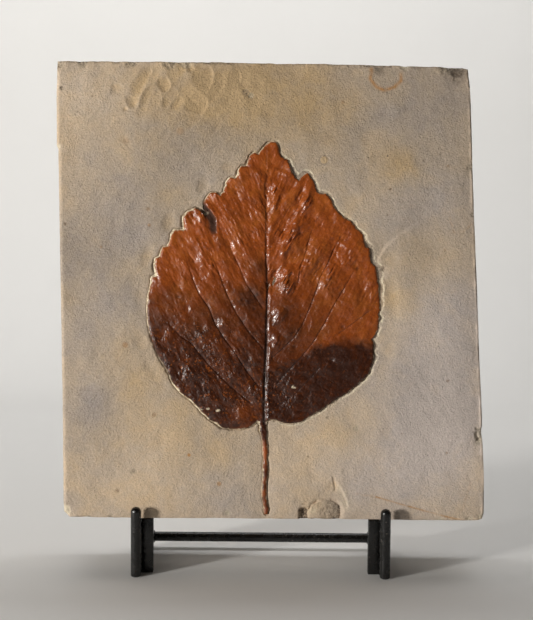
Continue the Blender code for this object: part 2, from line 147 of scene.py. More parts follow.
# Stalk centre line and half widths
STALK = [
    (263.4, 421.5, 3.4), (263.2, 428, 3.1), (264, 438, 2.6), (265.1, 450, 2.1), (265.4, 462, 1.9),
    (265.1, 475, 1.9), (264.6, 488, 1.8), (264.3, 498, 1.7), (265.4, 504, 1.7), (266.4, 509, 1.9),
    (266.2, 514.5, 1.4),
]

# Midrib, then each side vein with its groove depth in millimetres
MIDRIB = [
    (263.6, 440), (264.4, 426), (264.4, 387), (266.4, 347), (266.8, 318), (267.7, 288), (266.4, 258.5),
    (266.4, 229), (266.4, 205), (265.4, 185), (270, 166), (271, 148),
]
SIDE_VEINS = [
    (0.22, [(263, 309), (261.4, 306), (246.6, 284), (233, 253), (229, 241)]),
    (0.26, [(264.4, 350), (248.6, 331.6), (236.7, 313.8), (228.8, 298), (222.9, 284), (218, 270.4),
            (210, 250)]),
    (0.30, [(260.4, 389), (246.6, 371), (232.8, 349.4), (224.9, 339.5), (215, 323.7), (209, 307.9),
            (199.2, 294), (193.2, 280.2), (187.3, 262.4), (181.8, 246.6)]),
    (0.24, [(252.5, 404.7), (242.6, 396.8), (228.8, 385), (209, 365.2), (191.3, 343.4), (179.4, 335.5),
            (167.5, 321.7)]),
    (0.28, [(269.3, 360), (282.2, 349.4), (294, 337.5), (302, 325.7), (309.8, 307.9), (315.8, 292),
            (320.7, 276.2), (327.6, 264.4), (333.6, 250.6), (339.5, 238.7), (345.4, 222.9)]),
    (0.20, [(298, 285), (300, 268.3), (305.9, 252.5), (309.8, 236.7), (315.8, 221)]),
    (0.26, [(275, 386), (286, 373), (300, 359), (313.8, 341.5), (325.7, 321.7), (333.6, 305.9),
            (343.4, 290), (351.3, 276.2), (355.3, 268.3), (365.2, 264.4)]),
    (0.18, [(272, 412), (280.2, 404.7), (296, 392.8), (307.9, 381), (323.7, 363.2), (331.6, 359.3)]),
    (0.22, [(338, 334), (347.4, 327.6), (363.2, 315.8), (377, 305.9)]),
]

# Tears in the leaf's upper left: points with depth in millimetres, then a short second one
TEAR = [(203, 205, 1.1), (209, 212, 1.2), (214, 219, 1.0), (214.5, 228, 0.7), (215.5, 238, 0.3)]
SECOND_TEAR = [(200, 224), (204, 234), (208, 245)]

# Gouges of the scraping tool: centre, half width, half length, turn in degrees, depth in millimetres
GOUGES = [
    (116, 89, 6, 7, 0, 0.32), (131, 101, 5.5, 8, 20, 0.36), (125, 109, 3, 3, 0, 0.28),
    (142, 81, 8, 21, -36, 0.42), (146, 100, 6, 18, -19, 0.38), (163, 84, 8.5, 9.5, 0, 0.48),
    (166.5, 101, 6, 7.5, -25, 0.36), (177.5, 103, 7.5, 10.5, -30, 0.36), (196, 103, 12.5, 13, -50, 0.46),
    (202, 76, 12, 14, -25, 0.42), (190, 67, 6, 4.5, -60, 0.34), (180, 67, 8, 5.5, -60, 0.30),
    (219, 84, 9, 20, -30, 0.16), (236, 78, 11, 16, -35, 0.2), (216, 126, 5, 9, -35, 0.14),
    (180, 128, 9, 14, -40, 0.14), (124, 139, 5, 4, 0, 0.2), (153, 100, 9, 16, -25, 0.26),
    (172, 96, 12, 10, -30, 0.30), (186, 92, 10, 12, -40, 0.30), (208, 96, 10, 14, -40, 0.22),
    (126, 80, 10, 18, -30, 0.16), (160, 114, 9, 13, -35, 0.18), (188, 120, 10, 12, -45, 0.2),
    (152, 74, 9, 12, -40, 0.28), (104, 78, 8, 14, -20, 0.10), (176, 76, 12, 11, -40, 0.26),
    (228, 104, 9, 16, -35, 0.13), (210, 114, 9, 14, -45, 0.15), (203, 184, 7, 11, -15, 0.45),
    (168, 222, 7, 11, -20, 0.50), (147, 256, 7, 12, -20, 0.45), (228, 168, 7, 8, -40, 0.25),
    (140, 300, 6, 16, 0, 0.25), (140, 342, 7, 10, 10, 0.30), (152, 372, 6, 14, 35, 0.22),
    (390, 258, 9, 9, 0, 0.30), (392, 300, 8, 22, 5, 0.25), (350, 200, 10, 14, 45, 0.20),
    (296, 160, 8, 9, 30, 0.22), (386, 360, 8, 20, -20, 0.20), (255, 98, 8, 8, 0, 0.30),
    (268, 112, 9, 9, 20, 0.28), (243, 84, 6, 6, 0, 0.25), (333, 137, 14, 10, 0, 0.18),
]

# Crisp edges of tool marks: hollow's side, -1 for left, reach in trace steps, depth in millimetres, points
TOOL_EDGES = [
    (-1, 9, 0.42, [(152, 65), (152.5, 72), (148, 80), (144, 87), (140.5, 98), (138, 107), (132, 112)]),
    (-1, 9, 0.46, [(165, 76), (169.5, 79), (171.5, 84), (170, 89), (166.5, 92.5), (161, 94)]),
    (-1, 4, 0.20, [(156, 83), (158, 88), (161.5, 93)]),
    (-1, 11, 0.46, [(199, 94.5), (205, 95.5), (208.5, 99), (208.8, 103.5), (206.5, 109), (202.5, 116),
                    (197, 125)]),
    (-1, 12, 0.44, [(208, 64), (212.5, 68), (214.3, 75), (213, 83), (208.5, 91.5)]),
    (-1, 6, 0.28, [(188, 63), (194, 66), (197, 69.5), (194, 72), (188, 74.5)]),
    (-1, 6, 0.24, [(184, 63), (187, 67), (185.5, 73), (179, 76)]),
    (-1, 6, 0.26, [(119, 82), (124, 86), (124, 92), (120.5, 97)]),
    (-1, 7, 0.30, [(136, 92), (139, 97), (138, 104), (133.5, 109.5)]),
    (-1, 7, 0.26, [(184.5, 97), (180, 104), (175, 111), (170, 117)]),
    (-1, 4, 0.18, [(173, 100), (169, 106), (164.5, 112)]),
    (1, 10, 0.40, [(183.5, 95), (187, 99.5), (191, 103.5), (196, 108)]),
    (1, 7, 0.30, [(169, 95.5), (164, 99), (162.3, 104), (162.5, 109)]),
    (1, 7, 0.30, [(153, 82), (147.5, 86), (144, 92), (141.5, 99)]),
    (1, 7, 0.34, [(158.5, 77), (156.8, 82), (158.5, 88), (162, 91.5)]),
    (1, 7, 0.30, [(129, 93), (126, 98), (126.5, 104), (129, 108)]),
    (1, 5, 0.30, [(112.5, 83), (111, 88), (113, 93.5)]),
    (1, 3, 0.26, [(123.5, 106), (123, 109), (125, 111)]),
    (-1, 5, 0.26, [(236, 66), (240, 70), (242, 77), (240, 84)]),
    (-1, 7, 0.22, [(262, 80), (264.5, 86), (261, 92)]),
    (-1, 5, 0.18, [(222, 70), (226, 78), (224, 87), (218, 94)]),
    (-1, 12, 0.55, [(333.2, 478), (336.5, 481.5), (341.5, 487.5), (345, 494), (348.5, 502), (349, 513)]),
    (1, 3, 0.60, [(331.3, 476), (332.6, 481), (333.8, 488), (333, 493)]),
    (1, 9, 0.22, [(304, 466), (308, 474), (309, 483), (305, 492)]),
    (-1, 6, 0.35, [(446, 72), (452, 76), (462, 78), (468, 76)]),
    (-1, 12, 0.20, [(121, 434), (127, 440), (128, 448), (122, 456)]),
    (-1, 12, 0.18, [(160, 428), (166, 436), (165, 446), (158, 455)]),
    (-1, 12, 0.18, [(196, 452), (202, 460), (201, 470), (193, 479)]),
    (1, 10, 0.18, [(96, 424), (92, 433), (94, 443), (99, 450)]),
    (-1, 10, 0.16, [(246, 478), (251, 485), (250, 494), (243, 501)]),
]

# Chips broken out of the face and its edges: centre, radius, depth in millimetres, and how fresh they look;
# the hollows of chips that are not fresh are painted darker, partly soil and partly painted shade
CHIPS = [
    (482, 434, 7.5, 1.5, 0.5), (479, 441, 4, 0.8, 0.5), (457, 67, 11, 0.9, 0.0), (445, 69, 6, 0.5, 0.2),
    (405, 66, 4.5, 0.8, 0.7), (60, 64, 4, 0.7, 0.3), (83, 62, 6, 0.6, 0.2), (132, 62, 6, 0.5, 0.2),
    (170, 63, 7, 0.7, 0.2), (186, 64, 5, 0.5, 0.4), (471, 168, 3.5, 0.8, 0.3), (251, 95.5, 3.2, 0.45, 0.5),
    (246, 92, 4, 0.45, 0.1), (474, 215, 2.5, 0.5, 0.3), (58, 146, 2.5, 0.5, 0.8), (65, 510, 6, 0.9, 0.8),
    (227, 513, 3, 0.7, 0.6), (110, 517, 3, 0.5, 0.2), (88, 518, 3.5, 0.5, 0.3), (388, 520, 3, 0.5, 0.3),
    (440, 522, 5, 0.7, 0.6), (470, 521, 5, 0.6, 0.5), (424, 522, 3, 0.5, 0.7), (456, 522, 3.5, 0.5, 0.8),
    (481, 517, 4, 0.5, 0.6), (134, 471, 3, 0.3, 0.2), (62, 88, 2.0, 0.3, 0.0), (356, 428, 3, 0.22, 0.4),
    (383.5, 268.5, 2.6, 1.0, 0.0),
]

# The lump left standing in the pocket that is broken out of the bottom edge
POCKET_LUMP = [
    (309.4, 508), (311, 505.8), (314, 503.8), (318, 502.3), (324.6, 501), (330, 501.3), (334.5, 502.7),
    (339, 506), (340.8, 512), (341.4, 526), (306.5, 526), (307.6, 515),
]

# Where the groove round the leaf is wider or narrower, by teeth, ripples and broadly: centre, radius, mm
GROOVE_TEETH = [
    (379, 323.5, 2.5, -1.5), (374.5, 352, 2.5, -1.5), (381, 314, 2.6, -0.7), (382, 306, 4, 0.4),
    (377, 346, 2.6, 0.8), (381, 328.5, 2.3, 0.8), (376.5, 357, 2.2, 0.6), (330, 197, 11, -0.55),
    (345, 215, 12, -0.6), (360, 229, 5, -0.5), (352, 222, 3, 0.5), (298, 172, 8, 0.35), (366, 368, 12, -0.5),
]
GROOVE_RIPPLED = [(380, 328, 22, 1.0)]
GROOVE_BROAD = [
    (377, 268, 20, 1.3), (380, 288, 14, 0.6), (378, 335, 22, -0.15), (372, 240, 16, 0.4),
    (364, 383, 12, 0.5), (300, 168, 9, 0.9), (155, 267, 9, 0.5), (181, 222, 7, 0.4), (148, 318, 24, -0.35),
]

# Where the groove's outer wall leans further: centre, radius and millimetres
WALL_LEANS = [(364, 383, 14, 0.7)]

# Where the slab's arris is worn wider, and where its outline is bitten: centre, radius and millimetres
WORN_PLACES = [
    (456, 70, 14, 2.6), (420, 67, 12, 0.9), (378, 67, 8, 1.2), (62, 62, 6, 0.6), (82, 62, 7, 0.6),
    (66, 512, 10, 0.8), (484, 430, 9, 0.6), (84, 518, 8, 0.5), (315, 520, 9, 0.8), (484, 521, 9, 1.0),
    (452, 521, 14, 0.5),
]
BITES = [(484, 432, 5, 0.5), (457, 67, 8, 0.25), (405, 65, 3, 0.5), (316, 520, 5, 0.5), (86, 518, 5, 0.2)]
CORNER_BITE = [(484.5, 521.5, 4.5, 1.5)]

# Where the face has scallops, hatching, raised and sunk places, and breaks painted cream where they face the
# lamp, partly fresh stone and partly painted highlight: centre, radius and amount
DEEP_SCALLOPS = [(110, 440, 48, 1.0), (150, 405, 30, 0.7), (200, 470, 45, 0.8), (300, 470, 40, 0.7)]
FAINT_SCALLOPS = [(400, 400, 60, 0.4), (240, 110, 40, 0.6), (120, 130, 50, 0.5), (420, 200, 60, 0.35)]
HATCHED_PLACES = [(205, 85, 22, 1.0), (185, 110, 20, 0.8), (390, 95, 30, 1.0), (330, 90, 25, 0.6)]
WASHED_PLACES = [(325, 497, 16, 1.0)]
RAISED_PLACES = [(281, 452, 9, 0.8), (285, 480, 10, 0.8)]
SUNK_PLACES = [(272, 450, 3.5, 1.0), (273, 480, 3.5, 1.0), (272, 500, 4, 0.9), (291, 470, 4, 0.7)]
LIT_BREAKS = [(313, 511, 4.5, 0.55), (346, 505, 7, 0.40), (340, 488, 3.5, 0.5), (344, 495, 4, 0.4)]

# The low ledge right of the leaf, the centre of the ring pit above it, and a thin scratch
LEDGE = [(374, 272), (380, 257), (386, 247), (397, 237), (415, 225), (425, 221)]
RING_PIT = (324.2, 159.8)
RING_RADIUS = 4.2
SCRATCH = [(178, 156), (181, 151), (184, 155)]

# The hollow of the pocket, which is painted dark as shade: centre and half sizes
POCKET_HOLLOW = (304.8, 517.5)
POCKET_HALF = (6.4, 11.0)

# Swells of the split back: centre, radius and rise in metres
BACK_SWELLS = [
    (-0.085, 0.100, 0.040, 0.0025), (0.030, 0.095, 0.050, -0.0040), (0.100, 0.050, 0.030, 0.0015),
    (-0.020, 0.010, 0.045, 0.0020), (-0.095, -0.090, 0.035, -0.0045), (0.085, -0.085, 0.040, -0.0030),
    (0.010, -0.060, 0.035, 0.0022), (-0.045, 0.060, 0.025, -0.0020),
]

# Boxes of the face that get a finer net, lower left and upper right: the gouges, and the right edge
GOUGE_BOX = ((98, 136), (262, 62))
EDGE_BOX_LEFT = (468, 300)
EDGE_BOX_RIGHT = (484, 521)

# Places where the face's net is finer: centre, radius in trace steps and net in millimetres
FINE_PLACES = [
    (324.2, 159.8, 8, 0.30), (327, 502, 27, 0.48), (389, 77, 22, 0.50), (480, 434, 9, 0.45),
    (250, 94, 9, 0.45), (456, 71, 13, 0.50), (383, 262, 12, 0.45), (66, 511, 8, 0.5), (388, 500, 13, 0.5),
    (411, 507, 13, 0.5), (434, 513, 13, 0.5), (457, 518, 12, 0.5),
]

# Broad places on the stone where the colour turns warmer or cooler: centre, radius and amount
WARM_PLACES = [
    (160, 92, 42, 0.55), (215, 82, 45, 0.62), (205, 134, 18, 0.30), (236, 128, 14, 0.25),
    (178, 150, 10, 0.25), (275, 92, 55, 1.0), (330, 112, 40, 0.75), (397, 164, 20, 1.1),
    (420, 252, 32, 0.75), (392, 300, 22, 0.9), (386, 345, 16, 0.6), (300, 462, 42, 0.25),
    (200, 440, 36, 0.55), (345, 432, 22, 0.7), (110, 452, 40, 0.2), (320, 505, 24, 0.4),
    (150, 505, 52, 0.25), (168, 196, 12, 0.5), (124, 345, 14, 0.6), (132, 385, 26, 0.5), (70, 300, 16, 0.4),
    (70, 120, 22, 0.3), (303, 119, 12, 0.4), (440, 340, 62, -1.2), (440, 430, 52, -1.3),
    (438, 122, 34, -0.55), (112, 215, 44, -0.6), (196, 172, 30, -0.55), (92, 402, 24, -1.0),
    (104, 300, 34, -0.45), (392, 215, 30, -0.5), (435, 200, 36, -0.7), (220, 490, 26, -0.5),
    (385, 480, 44, -1.0), (140, 240, 24, -0.4), (385, 115, 26, -0.3),
]

# Broad places where the scraping strokes show more
STROKED_PLACES = [
    (222, 155, 34, 1.0), (66, 150, 16, 0.8), (68, 195, 18, 0.8), (150, 95, 34, 0.45), (100, 440, 45, 0.6),
    (430, 258, 38, 0.45), (442, 175, 22, 0.35), (110, 270, 30, 0.4), (215, 475, 35, 0.4),
    (300, 455, 26, 0.3), (395, 95, 26, 0.3),
]

# Broad places where the stone is painted lighter or darker: partly its own tone, partly painted light that
# brightens the right and lower parts further from the lamp, and painted shade on the facet at the top right
# chip and on the ledge
TONE_AND_PAINTED_LIGHT_PLACES = [
    (80, 95, 38, 0.16), (95, 250, 70, -0.19), (175, 165, 52, -0.16), (425, 115, 62, -0.16),
    (250, 85, 70, -0.12), (150, 490, 60, 0.19), (315, 470, 60, 0.27), (440, 450, 75, 0.36),
    (95, 405, 34, -0.18), (430, 320, 60, 0.22), (420, 215, 40, 0.02), (379, 69, 6, -0.45),
    (456, 70, 10, -0.50), (60, 250, 20, -0.06), (160, 225, 12, -0.12), (378, 250, 8, -0.12),
]

# Small spots: centre, radius, ochre share, dark share
SPOTS = [
    (189, 455, 1.6, 1.0, 0.0), (125, 345, 2.6, 0.5, 0.1), (390.4, 189, 1.3, 0.3, 0.6),
    (387.6, 155.8, 0.9, 0.0, 0.8), (368.4, 157.7, 0.8, 0.0, 0.7), (423.7, 160.9, 1.2, 0.0, 0.6),
    (440.5, 153.9, 0.9, 0.0, 0.6), (448, 166, 1.2, 0.3, 0.4), (387.6, 215, 1.0, 0.1, 0.6),
    (343, 102, 1.6, 0.4, 0.2), (448, 381, 1.6, 0.2, 0.5), (61, 88, 1.4, 0.0, 0.8), (148, 209, 1.8, 0.3, 0.3),
    (149, 225, 1.5, 0.5, 0.1), (65, 224, 1.6, 0.2, 0.5), (126, 141, 3.5, 0.15, 0.1),
    (308, 457, 1.2, 0.1, 0.5), (447, 453, 1.4, 0.3, 0.3), (402, 434, 1.2, 0.1, 0.4),
    (117, 491, 2.0, 0.2, 0.4), (154, 415, 2.2, 0.3, 0.3), (219, 484, 2.2, 0.6, 0.0), (92, 96, 1.2, 0.1, 0.4),
    (180, 131, 3.5, 0.25, 0.0), (101, 247, 1.4, 0.3, 0.2), (445, 250, 1.2, 0.2, 0.3),
    (327, 418, 1.4, 0.0, 0.5),
]

# Thin stained lines on the stone: points, half width and ochre share
STAIN_LINES = [
    ([(371.6, 69), (370.4, 79), (376.7, 87), (384.4, 90), (394.6, 87), (401, 80.5), (401, 74)], 1.7, 1.0),
    ([(376, 497), (400, 504), (425, 511), (444, 516), (466, 521)], 0.75, 0.9),
    ([(355, 494), (376, 497)], 0.9, 0.25), ([(450, 218), (454, 233)], 0.8, 0.3),
    ([(463, 232), (472, 224)], 0.8, 0.3), ([(462, 510), (471, 482)], 1.0, 0.2),
]

# Specks where the dark film has gone, with their paleness, and pits with their depth: centre, radius, amount
LEAF_SPECKS = [
    (218, 410, 1.5, 1.0), (208, 408.5, 1.3, 0.8), (293.5, 387.5, 1.7, 1.0), (202, 409.5, 0.9, 0.6),
]
LEAF_PITS = [
    (342.5, 327.2, 2.0, 0.5), (300.4, 234, 2.4, 0.5), (252.5, 232, 1.6, 0.3), (178, 297, 1.8, 0.4),
    (332, 360, 2.0, 0.4), (294, 347, 1.6, 0.3), (254, 309, 1.7, 0.3), (357, 268.5, 2.2, 0.3),
    (270, 247, 1.5, 0.3), (198, 213, 1.6, 0.3),
]

# Where the leaf is smoother, crinkled and pebbled, and its raised spots: centre, radius and amount
SMOOTH_PLACES = [(330, 375, 45, 0.45), (190, 370, 45, 0.30)]
CRINKLED_PLACES = [
    (283, 235, 26, 1.0), (272, 200, 22, 0.8), (250, 215, 22, 0.5), (205, 235, 20, 0.5), (282, 285, 18, 0.9),
    (235, 265, 22, 0.45), (300, 200, 14, 0.6),
]
PEBBLED_PLACES = [
    (200, 380, 46, 1.0), (250, 400, 30, 0.8), (282, 398, 14, 0.9), (180, 345, 30, 0.6), (205, 330, 26, 0.4),
]
RAISED_SPOTS = [
    (220, 322, 4, 1.0), (196, 217, 4, 1.2), (286, 231, 6, 0.9), (284, 282, 5, 0.8), (303, 200, 4, 0.9),
    (211, 198, 4, 0.8),
]

# Folds of the leaf: centre, half width, half length, turn in degrees and height in millimetres
LEAF_FOLDS = [
    (271, 197, 3.5, 14, -4, 0.95), (286, 235, 5, 19, -21, 1.35), (280, 280, 5.5, 14, -12, 1.45),
    (304, 197, 3, 10, -15, 0.75), (275, 316, 3.5, 7, 0, 0.85), (273, 341, 3, 6, -20, 0.75),
    (197, 218, 3.5, 7, -5, 0.85), (220, 322, 3, 4, 0, 0.70), (233, 351, 2.5, 5, 0, 0.55),
    (211, 196, 4, 6, 0, 0.5), (236, 246, 5, 14, 25, 0.45), (255, 215, 5, 16, 15, 0.40),
    (323, 275, 5, 14, -25, 0.8), (296, 262, 5, 12, -30, 0.8), (183, 372, 4, 6, -30, 0.7),
    (226, 222, 5, 12, 25, 0.45), (254, 233, 3, 5, 20, 0.35), (232, 252, 3, 5, 30, 0.40),
    (300, 205, 4, 12, -35, 0.7), (290, 195, 4, 14, -40, 0.6), (310, 255, 5, 16, -30, 0.6),
    (345, 250, 6, 16, -30, 0.65), (200, 260, 6, 18, 25, 0.6), (180, 262, 5, 14, 20, 0.5),
    (243, 190, 5, 12, 15, 0.35), (286, 170, 5, 12, -25, 0.5), (255, 180, 4, 10, 10, 0.5),
    (368, 292, 4, 12, 0, 0.55),
]

# Where the leaf turns from rust to chocolate: line points from left to right
CHOCOLATE_LEFT = ((140, 296), (180, 304), (213, 300), (241, 290), (266, 282))
CHOCOLATE_RIGHT = (
    (266, 358), (278, 354), (291, 350), (303, 347), (314, 344), (327, 341), (341, 338), (372, 337),
    (390, 330),
)

# Places and small spots of the leaf that are darker or lighter than that: centre, radius and amount
DARK_OUTER_LEFT = [(185, 385, 32, 0.10), (215, 415, 22, 0.06), (236, 342, 12, -0.12), (165, 335, 22, 0.06)]
DARK_BASE = [(243, 412, 8, -0.42), (252, 300, 12, 0.12), (256, 290, 8, 0.1), (288, 384, 22, 0.26)]
DARK_PLACES = [
    (352, 302, 30, 0.20), (330, 328, 20, 0.12), (325, 255, 22, 0.06), (290, 312, 10, 0.12),
    (296, 332, 8, 0.1), (246, 292, 12, 0.12), (256, 262, 10, 0.2), (172, 300, 14, 0.15),
]
DARK_SPOTS = [
    (243, 180, 4, 0.30), (254, 202, 4, 0.40), (238, 214, 5, 0.25), (221, 245, 6, 0.30), (260, 268, 7, 0.35),
    (243, 232, 4, 0.25), (226, 262, 5, 0.2), (300, 250, 5, 0.3),
]
DARK_STALK = [(265, 456, 10, -0.3)]

# Where black runs beside the veins, and painted shade on the leaf's margin and notch and on the groove at the
# notch: centre, radius and amount
DARK_VEINED = [(342, 366, 20, 1.0), (316, 390, 18, 1.0)]
SHADED_MARGIN = [(151, 338, 12, 0.8), (157, 354, 15, 0.9), (167, 371, 9, 0.7)]
NOTCH_SHADE = [(206.5, 207, 7, 1.0)]
NOTCH_GROOVE_SHADE = [(205, 207, 6, 1.0)]


# Placing on the leaning face


def on_face(x, y):
    """A traced point as x and height on the slab's face, in metres, with the set turned level."""
    a = (x - TRACE_X0) * TRACE_STEP
    b = (TRACE_Y0 - y) * TRACE_STEP
    return a * math.cos(SET_TURN) - b * math.sin(SET_TURN), a * math.sin(SET_TURN) + b * math.cos(SET_TURN)


def in_trace(points):
    """Face points back in trace steps, x right and y down."""
    a = points[:, 0] * math.cos(SET_TURN) + points[:, 1] * math.sin(SET_TURN)
    b = -points[:, 0] * math.sin(SET_TURN) + points[:, 1] * math.cos(SET_TURN)
    return np.c_[a / TRACE_STEP + TRACE_X0, TRACE_Y0 - b / TRACE_STEP]


def in_space(x, v, n):
    """Face coordinates to the shared frame: x to the right, v up the leaning face, n out of the face."""
    y = FACE_Y + v * math.sin(LEAN) - n * math.cos(LEAN)
    z = FACE_Z + v * math.cos(LEAN) + n * math.sin(LEAN)
    return FACE_X + x, y, z


def placed(flat, heights):
    x, y, z = in_space(flat[:, 0], flat[:, 1], heights)
    return np.c_[x, y, z]


def trace(points):
    return np.array([on_face(*p[:2]) for p in points])


# Lines, loops and nets


def spaced(points, step, closed=True):
    """Points along a line or loop, no further apart than the step."""
    out = []
    count = len(points) if closed else len(points) - 1
    for i in range(count):
        a = points[i]
        b = points[(i + 1) % len(points)]
        parts = max(1, int(math.ceil(np.linalg.norm(b - a) / step)))
        out.extend(a + (b - a) * k / parts for k in range(parts))
    if not closed:
        out.append(points[-1])
    return np.array(out)


def inside(points, loop):
    found = np.zeros(len(points), bool)
    a = loop
    b = np.roll(loop, -1, axis=0)
    for (ax, ay), (bx, by) in zip(a, b):
        if ay == by:
            continue
        crosses = (ay > points[:, 1]) != (by > points[:, 1])
        at = (bx - ax) * (points[:, 1] - ay) / (by - ay) + ax
        found ^= crosses & (points[:, 0] < at)
    return found


def distance(points, line, closed=True):
    a = line if closed else line[:-1]
    b = np.roll(line, -1, axis=0) if closed else line[1:]
    ab = b - a
    length2 = np.maximum((ab**2).sum(axis=1), 1e-18)
    best = np.full(len(points), 1e9)
    for i in range(len(a)):
        away = points - a[i]
        t = np.clip((away @ ab[i]) / length2[i], 0, 1)
        rest = away - t[:, None] * ab[i]
        best = np.minimum(best, (rest**2).sum(axis=1))
    return np.sqrt(best)


def beside(points, line):
    """Distance to an open line, the side of it, right being positive, and the share along it."""
    ab = line[1:] - line[:-1]
    length = np.linalg.norm(ab, axis=1)
    start = np.concatenate([[0], np.cumsum(length)[:-1]]) / length.sum()
    best = np.full(len(points), 1e9)
    side = np.ones(len(points))
    along = np.zeros(len(points))
    for i in range(len(ab)):
        away = points - line[i]
        t = np.clip((away @ ab[i]) / length[i] ** 2, 0, 1)
        off = np.linalg.norm(away - t[:, None] * ab[i], axis=1)
        turn = ab[i][0] * away[:, 1] - ab[i][1] * away[:, 0]
        nearer = off < best
        best = np.where(nearer, off, best)
        side = np.where(nearer, -np.sign(turn), side)
        along = np.where(nearer, start[i] + t * length[i] / length.sum(), along)
    return best, side, along


def crossing(a, b, c, d):
    """Where two segments cross, or None."""
    r = b - a
    s = d - c
    spread = r[0] * s[1] - r[1] * s[0]
    if abs(spread) < 1e-15:
        return None
    t = ((c[0] - a[0]) * s[1] - (c[1] - a[1]) * s[0]) / spread
    u = ((c[0] - a[0]) * r[1] - (c[1] - a[1]) * r[0]) / spread
    return a + r * t if 0 < t < 1 and 0 < u < 1 else None


def untwisted(loop, merge):
    """Cuts off the small twists where a loop crosses itself, and joins points nearer than merge."""
    line = list(loop)
    i = 0
    while i < len(line) - 16:
        for gap in range(2, 15):
            met = crossing(line[i], line[i + 1], line[i + gap], line[i + gap + 1])
            if met is not None:
                line[i + 1 : i + gap + 1] = [met]
                break
        i += 1
    kept = [line[0]]
    for p in line[1:]:
        if np.linalg.norm(p - kept[-1]) > merge:
            kept.append(p)
    return np.array(kept)


def outward(line, loop, at=40, reach=MM):
    """Unit normals of a closed line that point out of a loop, judged at one of its points."""
    ahead = np.roll(line, -1, axis=0) - np.roll(line, 1, axis=0)
    normal = np.c_[ahead[:, 1], -ahead[:, 0]]
    normal /= np.linalg.norm(normal, axis=1)[:, None]
    if inside(line[at : at + 1] + normal[at : at + 1] * reach, loop)[0]:
        return -normal
    return normal


def grown(loop, width_at, step):
    """A loop set outside another by a width that may vary, with the folds at inner corners removed."""
    line = spaced(loop, step)
    width = width_at(line)
    moved = line + outward(line, loop, 0, 0.02 * MM) * width[:, None]
    keep = (distance(moved, loop) > 0.9 * width) & ~inside(moved, loop)
    return untwisted(moved[keep], 0.45 * step)


def lattice(low, high, step, seed):
    """Staggered points over a box, each moved a little from its place."""
    rng = np.random.default_rng(seed)
    rows = []
    y = low[1]
    odd = False
    while y < high[1]:
        xs = np.arange(low[0] + (0.5 * step if odd else 0.0), high[0], step)
        rows.append(np.c_[xs, np.full(len(xs), y)])
        y += step * 0.866
        odd = not odd
    points = np.vstack(rows)
    return points + rng.uniform(-0.12, 0.12, points.shape) * step


def triangles(loops, extra):
    """Triangle net through closed loops and loose points, as flat points and faces."""
    points = np.vstack([*loops, extra]) if len(extra) else np.vstack(loops)
    edges = []
    start = 0
    for loop in loops:
        count = len(loop)
        edges.extend((start + i, start + (i + 1) % count) for i in range(count))
        start += count
    result = delaunay_2d_cdt([Vector(p) for p in points / MM], edges, [], 1, 1e-5)
    flat = np.array([v[:] for v in result[0]]) * MM
    return flat, np.array([tuple(f) for f in result[2]])


def rim_edges(faces):
    """The edges that only one triangle uses, in that triangle's own direction."""
    used = {}
    for face in faces.tolist():
        for i in range(3):
            used[(face[i], face[(i + 1) % 3])] = True
    return [edge for edge in used if (edge[1], edge[0]) not in used]


# Random relief
CELL_PRIMES = (374761393, 668265263, 2147483647)
HASH_PRIME = 1274126177


def scattered(cells, seed):
    """A steady random value between -1 and 1 for each whole-number cell."""
    mixed = cells @ np.array(CELL_PRIMES[: cells.shape[1]], np.int64) + seed * HASH_PRIME
    mixed = (mixed ^ (mixed >> 13)) * HASH_PRIME
    mixed = mixed ^ (mixed >> 16)
    return (mixed & 0xFFFF) / 32767.5 - 1.0


def hills(points, size, seed=0):
    """Smooth random hills about that size across, between -1 and 1."""
    p = points / size + 31.7 * (seed + 1)
    cell = np.floor(p).astype(np.int64)
    t = p - cell
    t = t * t * t * (t * (t * 6 - 15) + 10)
    total = np.zeros(len(points))
    for corner in itertools.product((0, 1), repeat=points.shape[1]):
        share = np.prod(np.where(np.array(corner) == 1, t, 1 - t), axis=1)
        total += share * scattered(cell + np.array(corner), seed)
    return total


def rough(points, size, seed=0, layers=4):
    """Hills with ever smaller hills on them."""
    total = np.zeros(len(points))
    strength = 1.0
    for k in range(layers):
        total += strength * hills(points, size / 2**k, seed + 7 * k)
        strength *= 0.55
    return total


def scallops(points, size, seed):
    """Shallow bowls side by side with crisp ridges between them, 0 at a bowl's centre."""
    p = points / size
    cell = np.floor(p).astype(np.int64)
    best = np.full(len(points), 9.0)
    for i, j in itertools.product((-1, 0, 1), repeat=2):
        near = cell + np.array([i, j])
        centre = near + 0.5 + 0.42 * np.c_[scattered(near, seed), scattered(near, seed + 1)]
        best = np.minimum(best, ((p - centre) ** 2).sum(axis=1))
    return best


def turned(points, degrees, across, along):
    """Points in units of a stroke's width and length, with strokes that run at that angle from upright."""
    c = math.cos(math.radians(degrees))
    s = math.sin(math.radians(degrees))
    x, v = points.T
    return np.c_[(x * c + v * s) / across, (-x * s + v * c) / along]


def bump(points, centre, radius):
    d = np.linalg.norm(points - np.array(centre), axis=1) / radius
    return np.where(d < 1.0, (1.0 - d**2) ** 2, 0.0)


def places(steps, spots):
    """The summed amount of soft round places, given in trace steps."""
    total = np.zeros(len(steps))
    for x, y, radius, amount in spots:
        d2 = ((steps - np.array([x, y])) ** 2).sum(axis=1) / radius**2
        total += amount * np.exp(-d2)
    return total


def eased(t):
    t = np.clip(t, 0, 1)
    return t * t * (3 - 2 * t)


def ramp(value, start, run):
    """Rises smoothly from 0 at the start to 1 at the end of the run, which may be negative."""
    return eased((value - start) / run)


def bell(value, width):
    """1 at zero, falling to both sides."""
    return np.exp(-((value / width) ** 2))


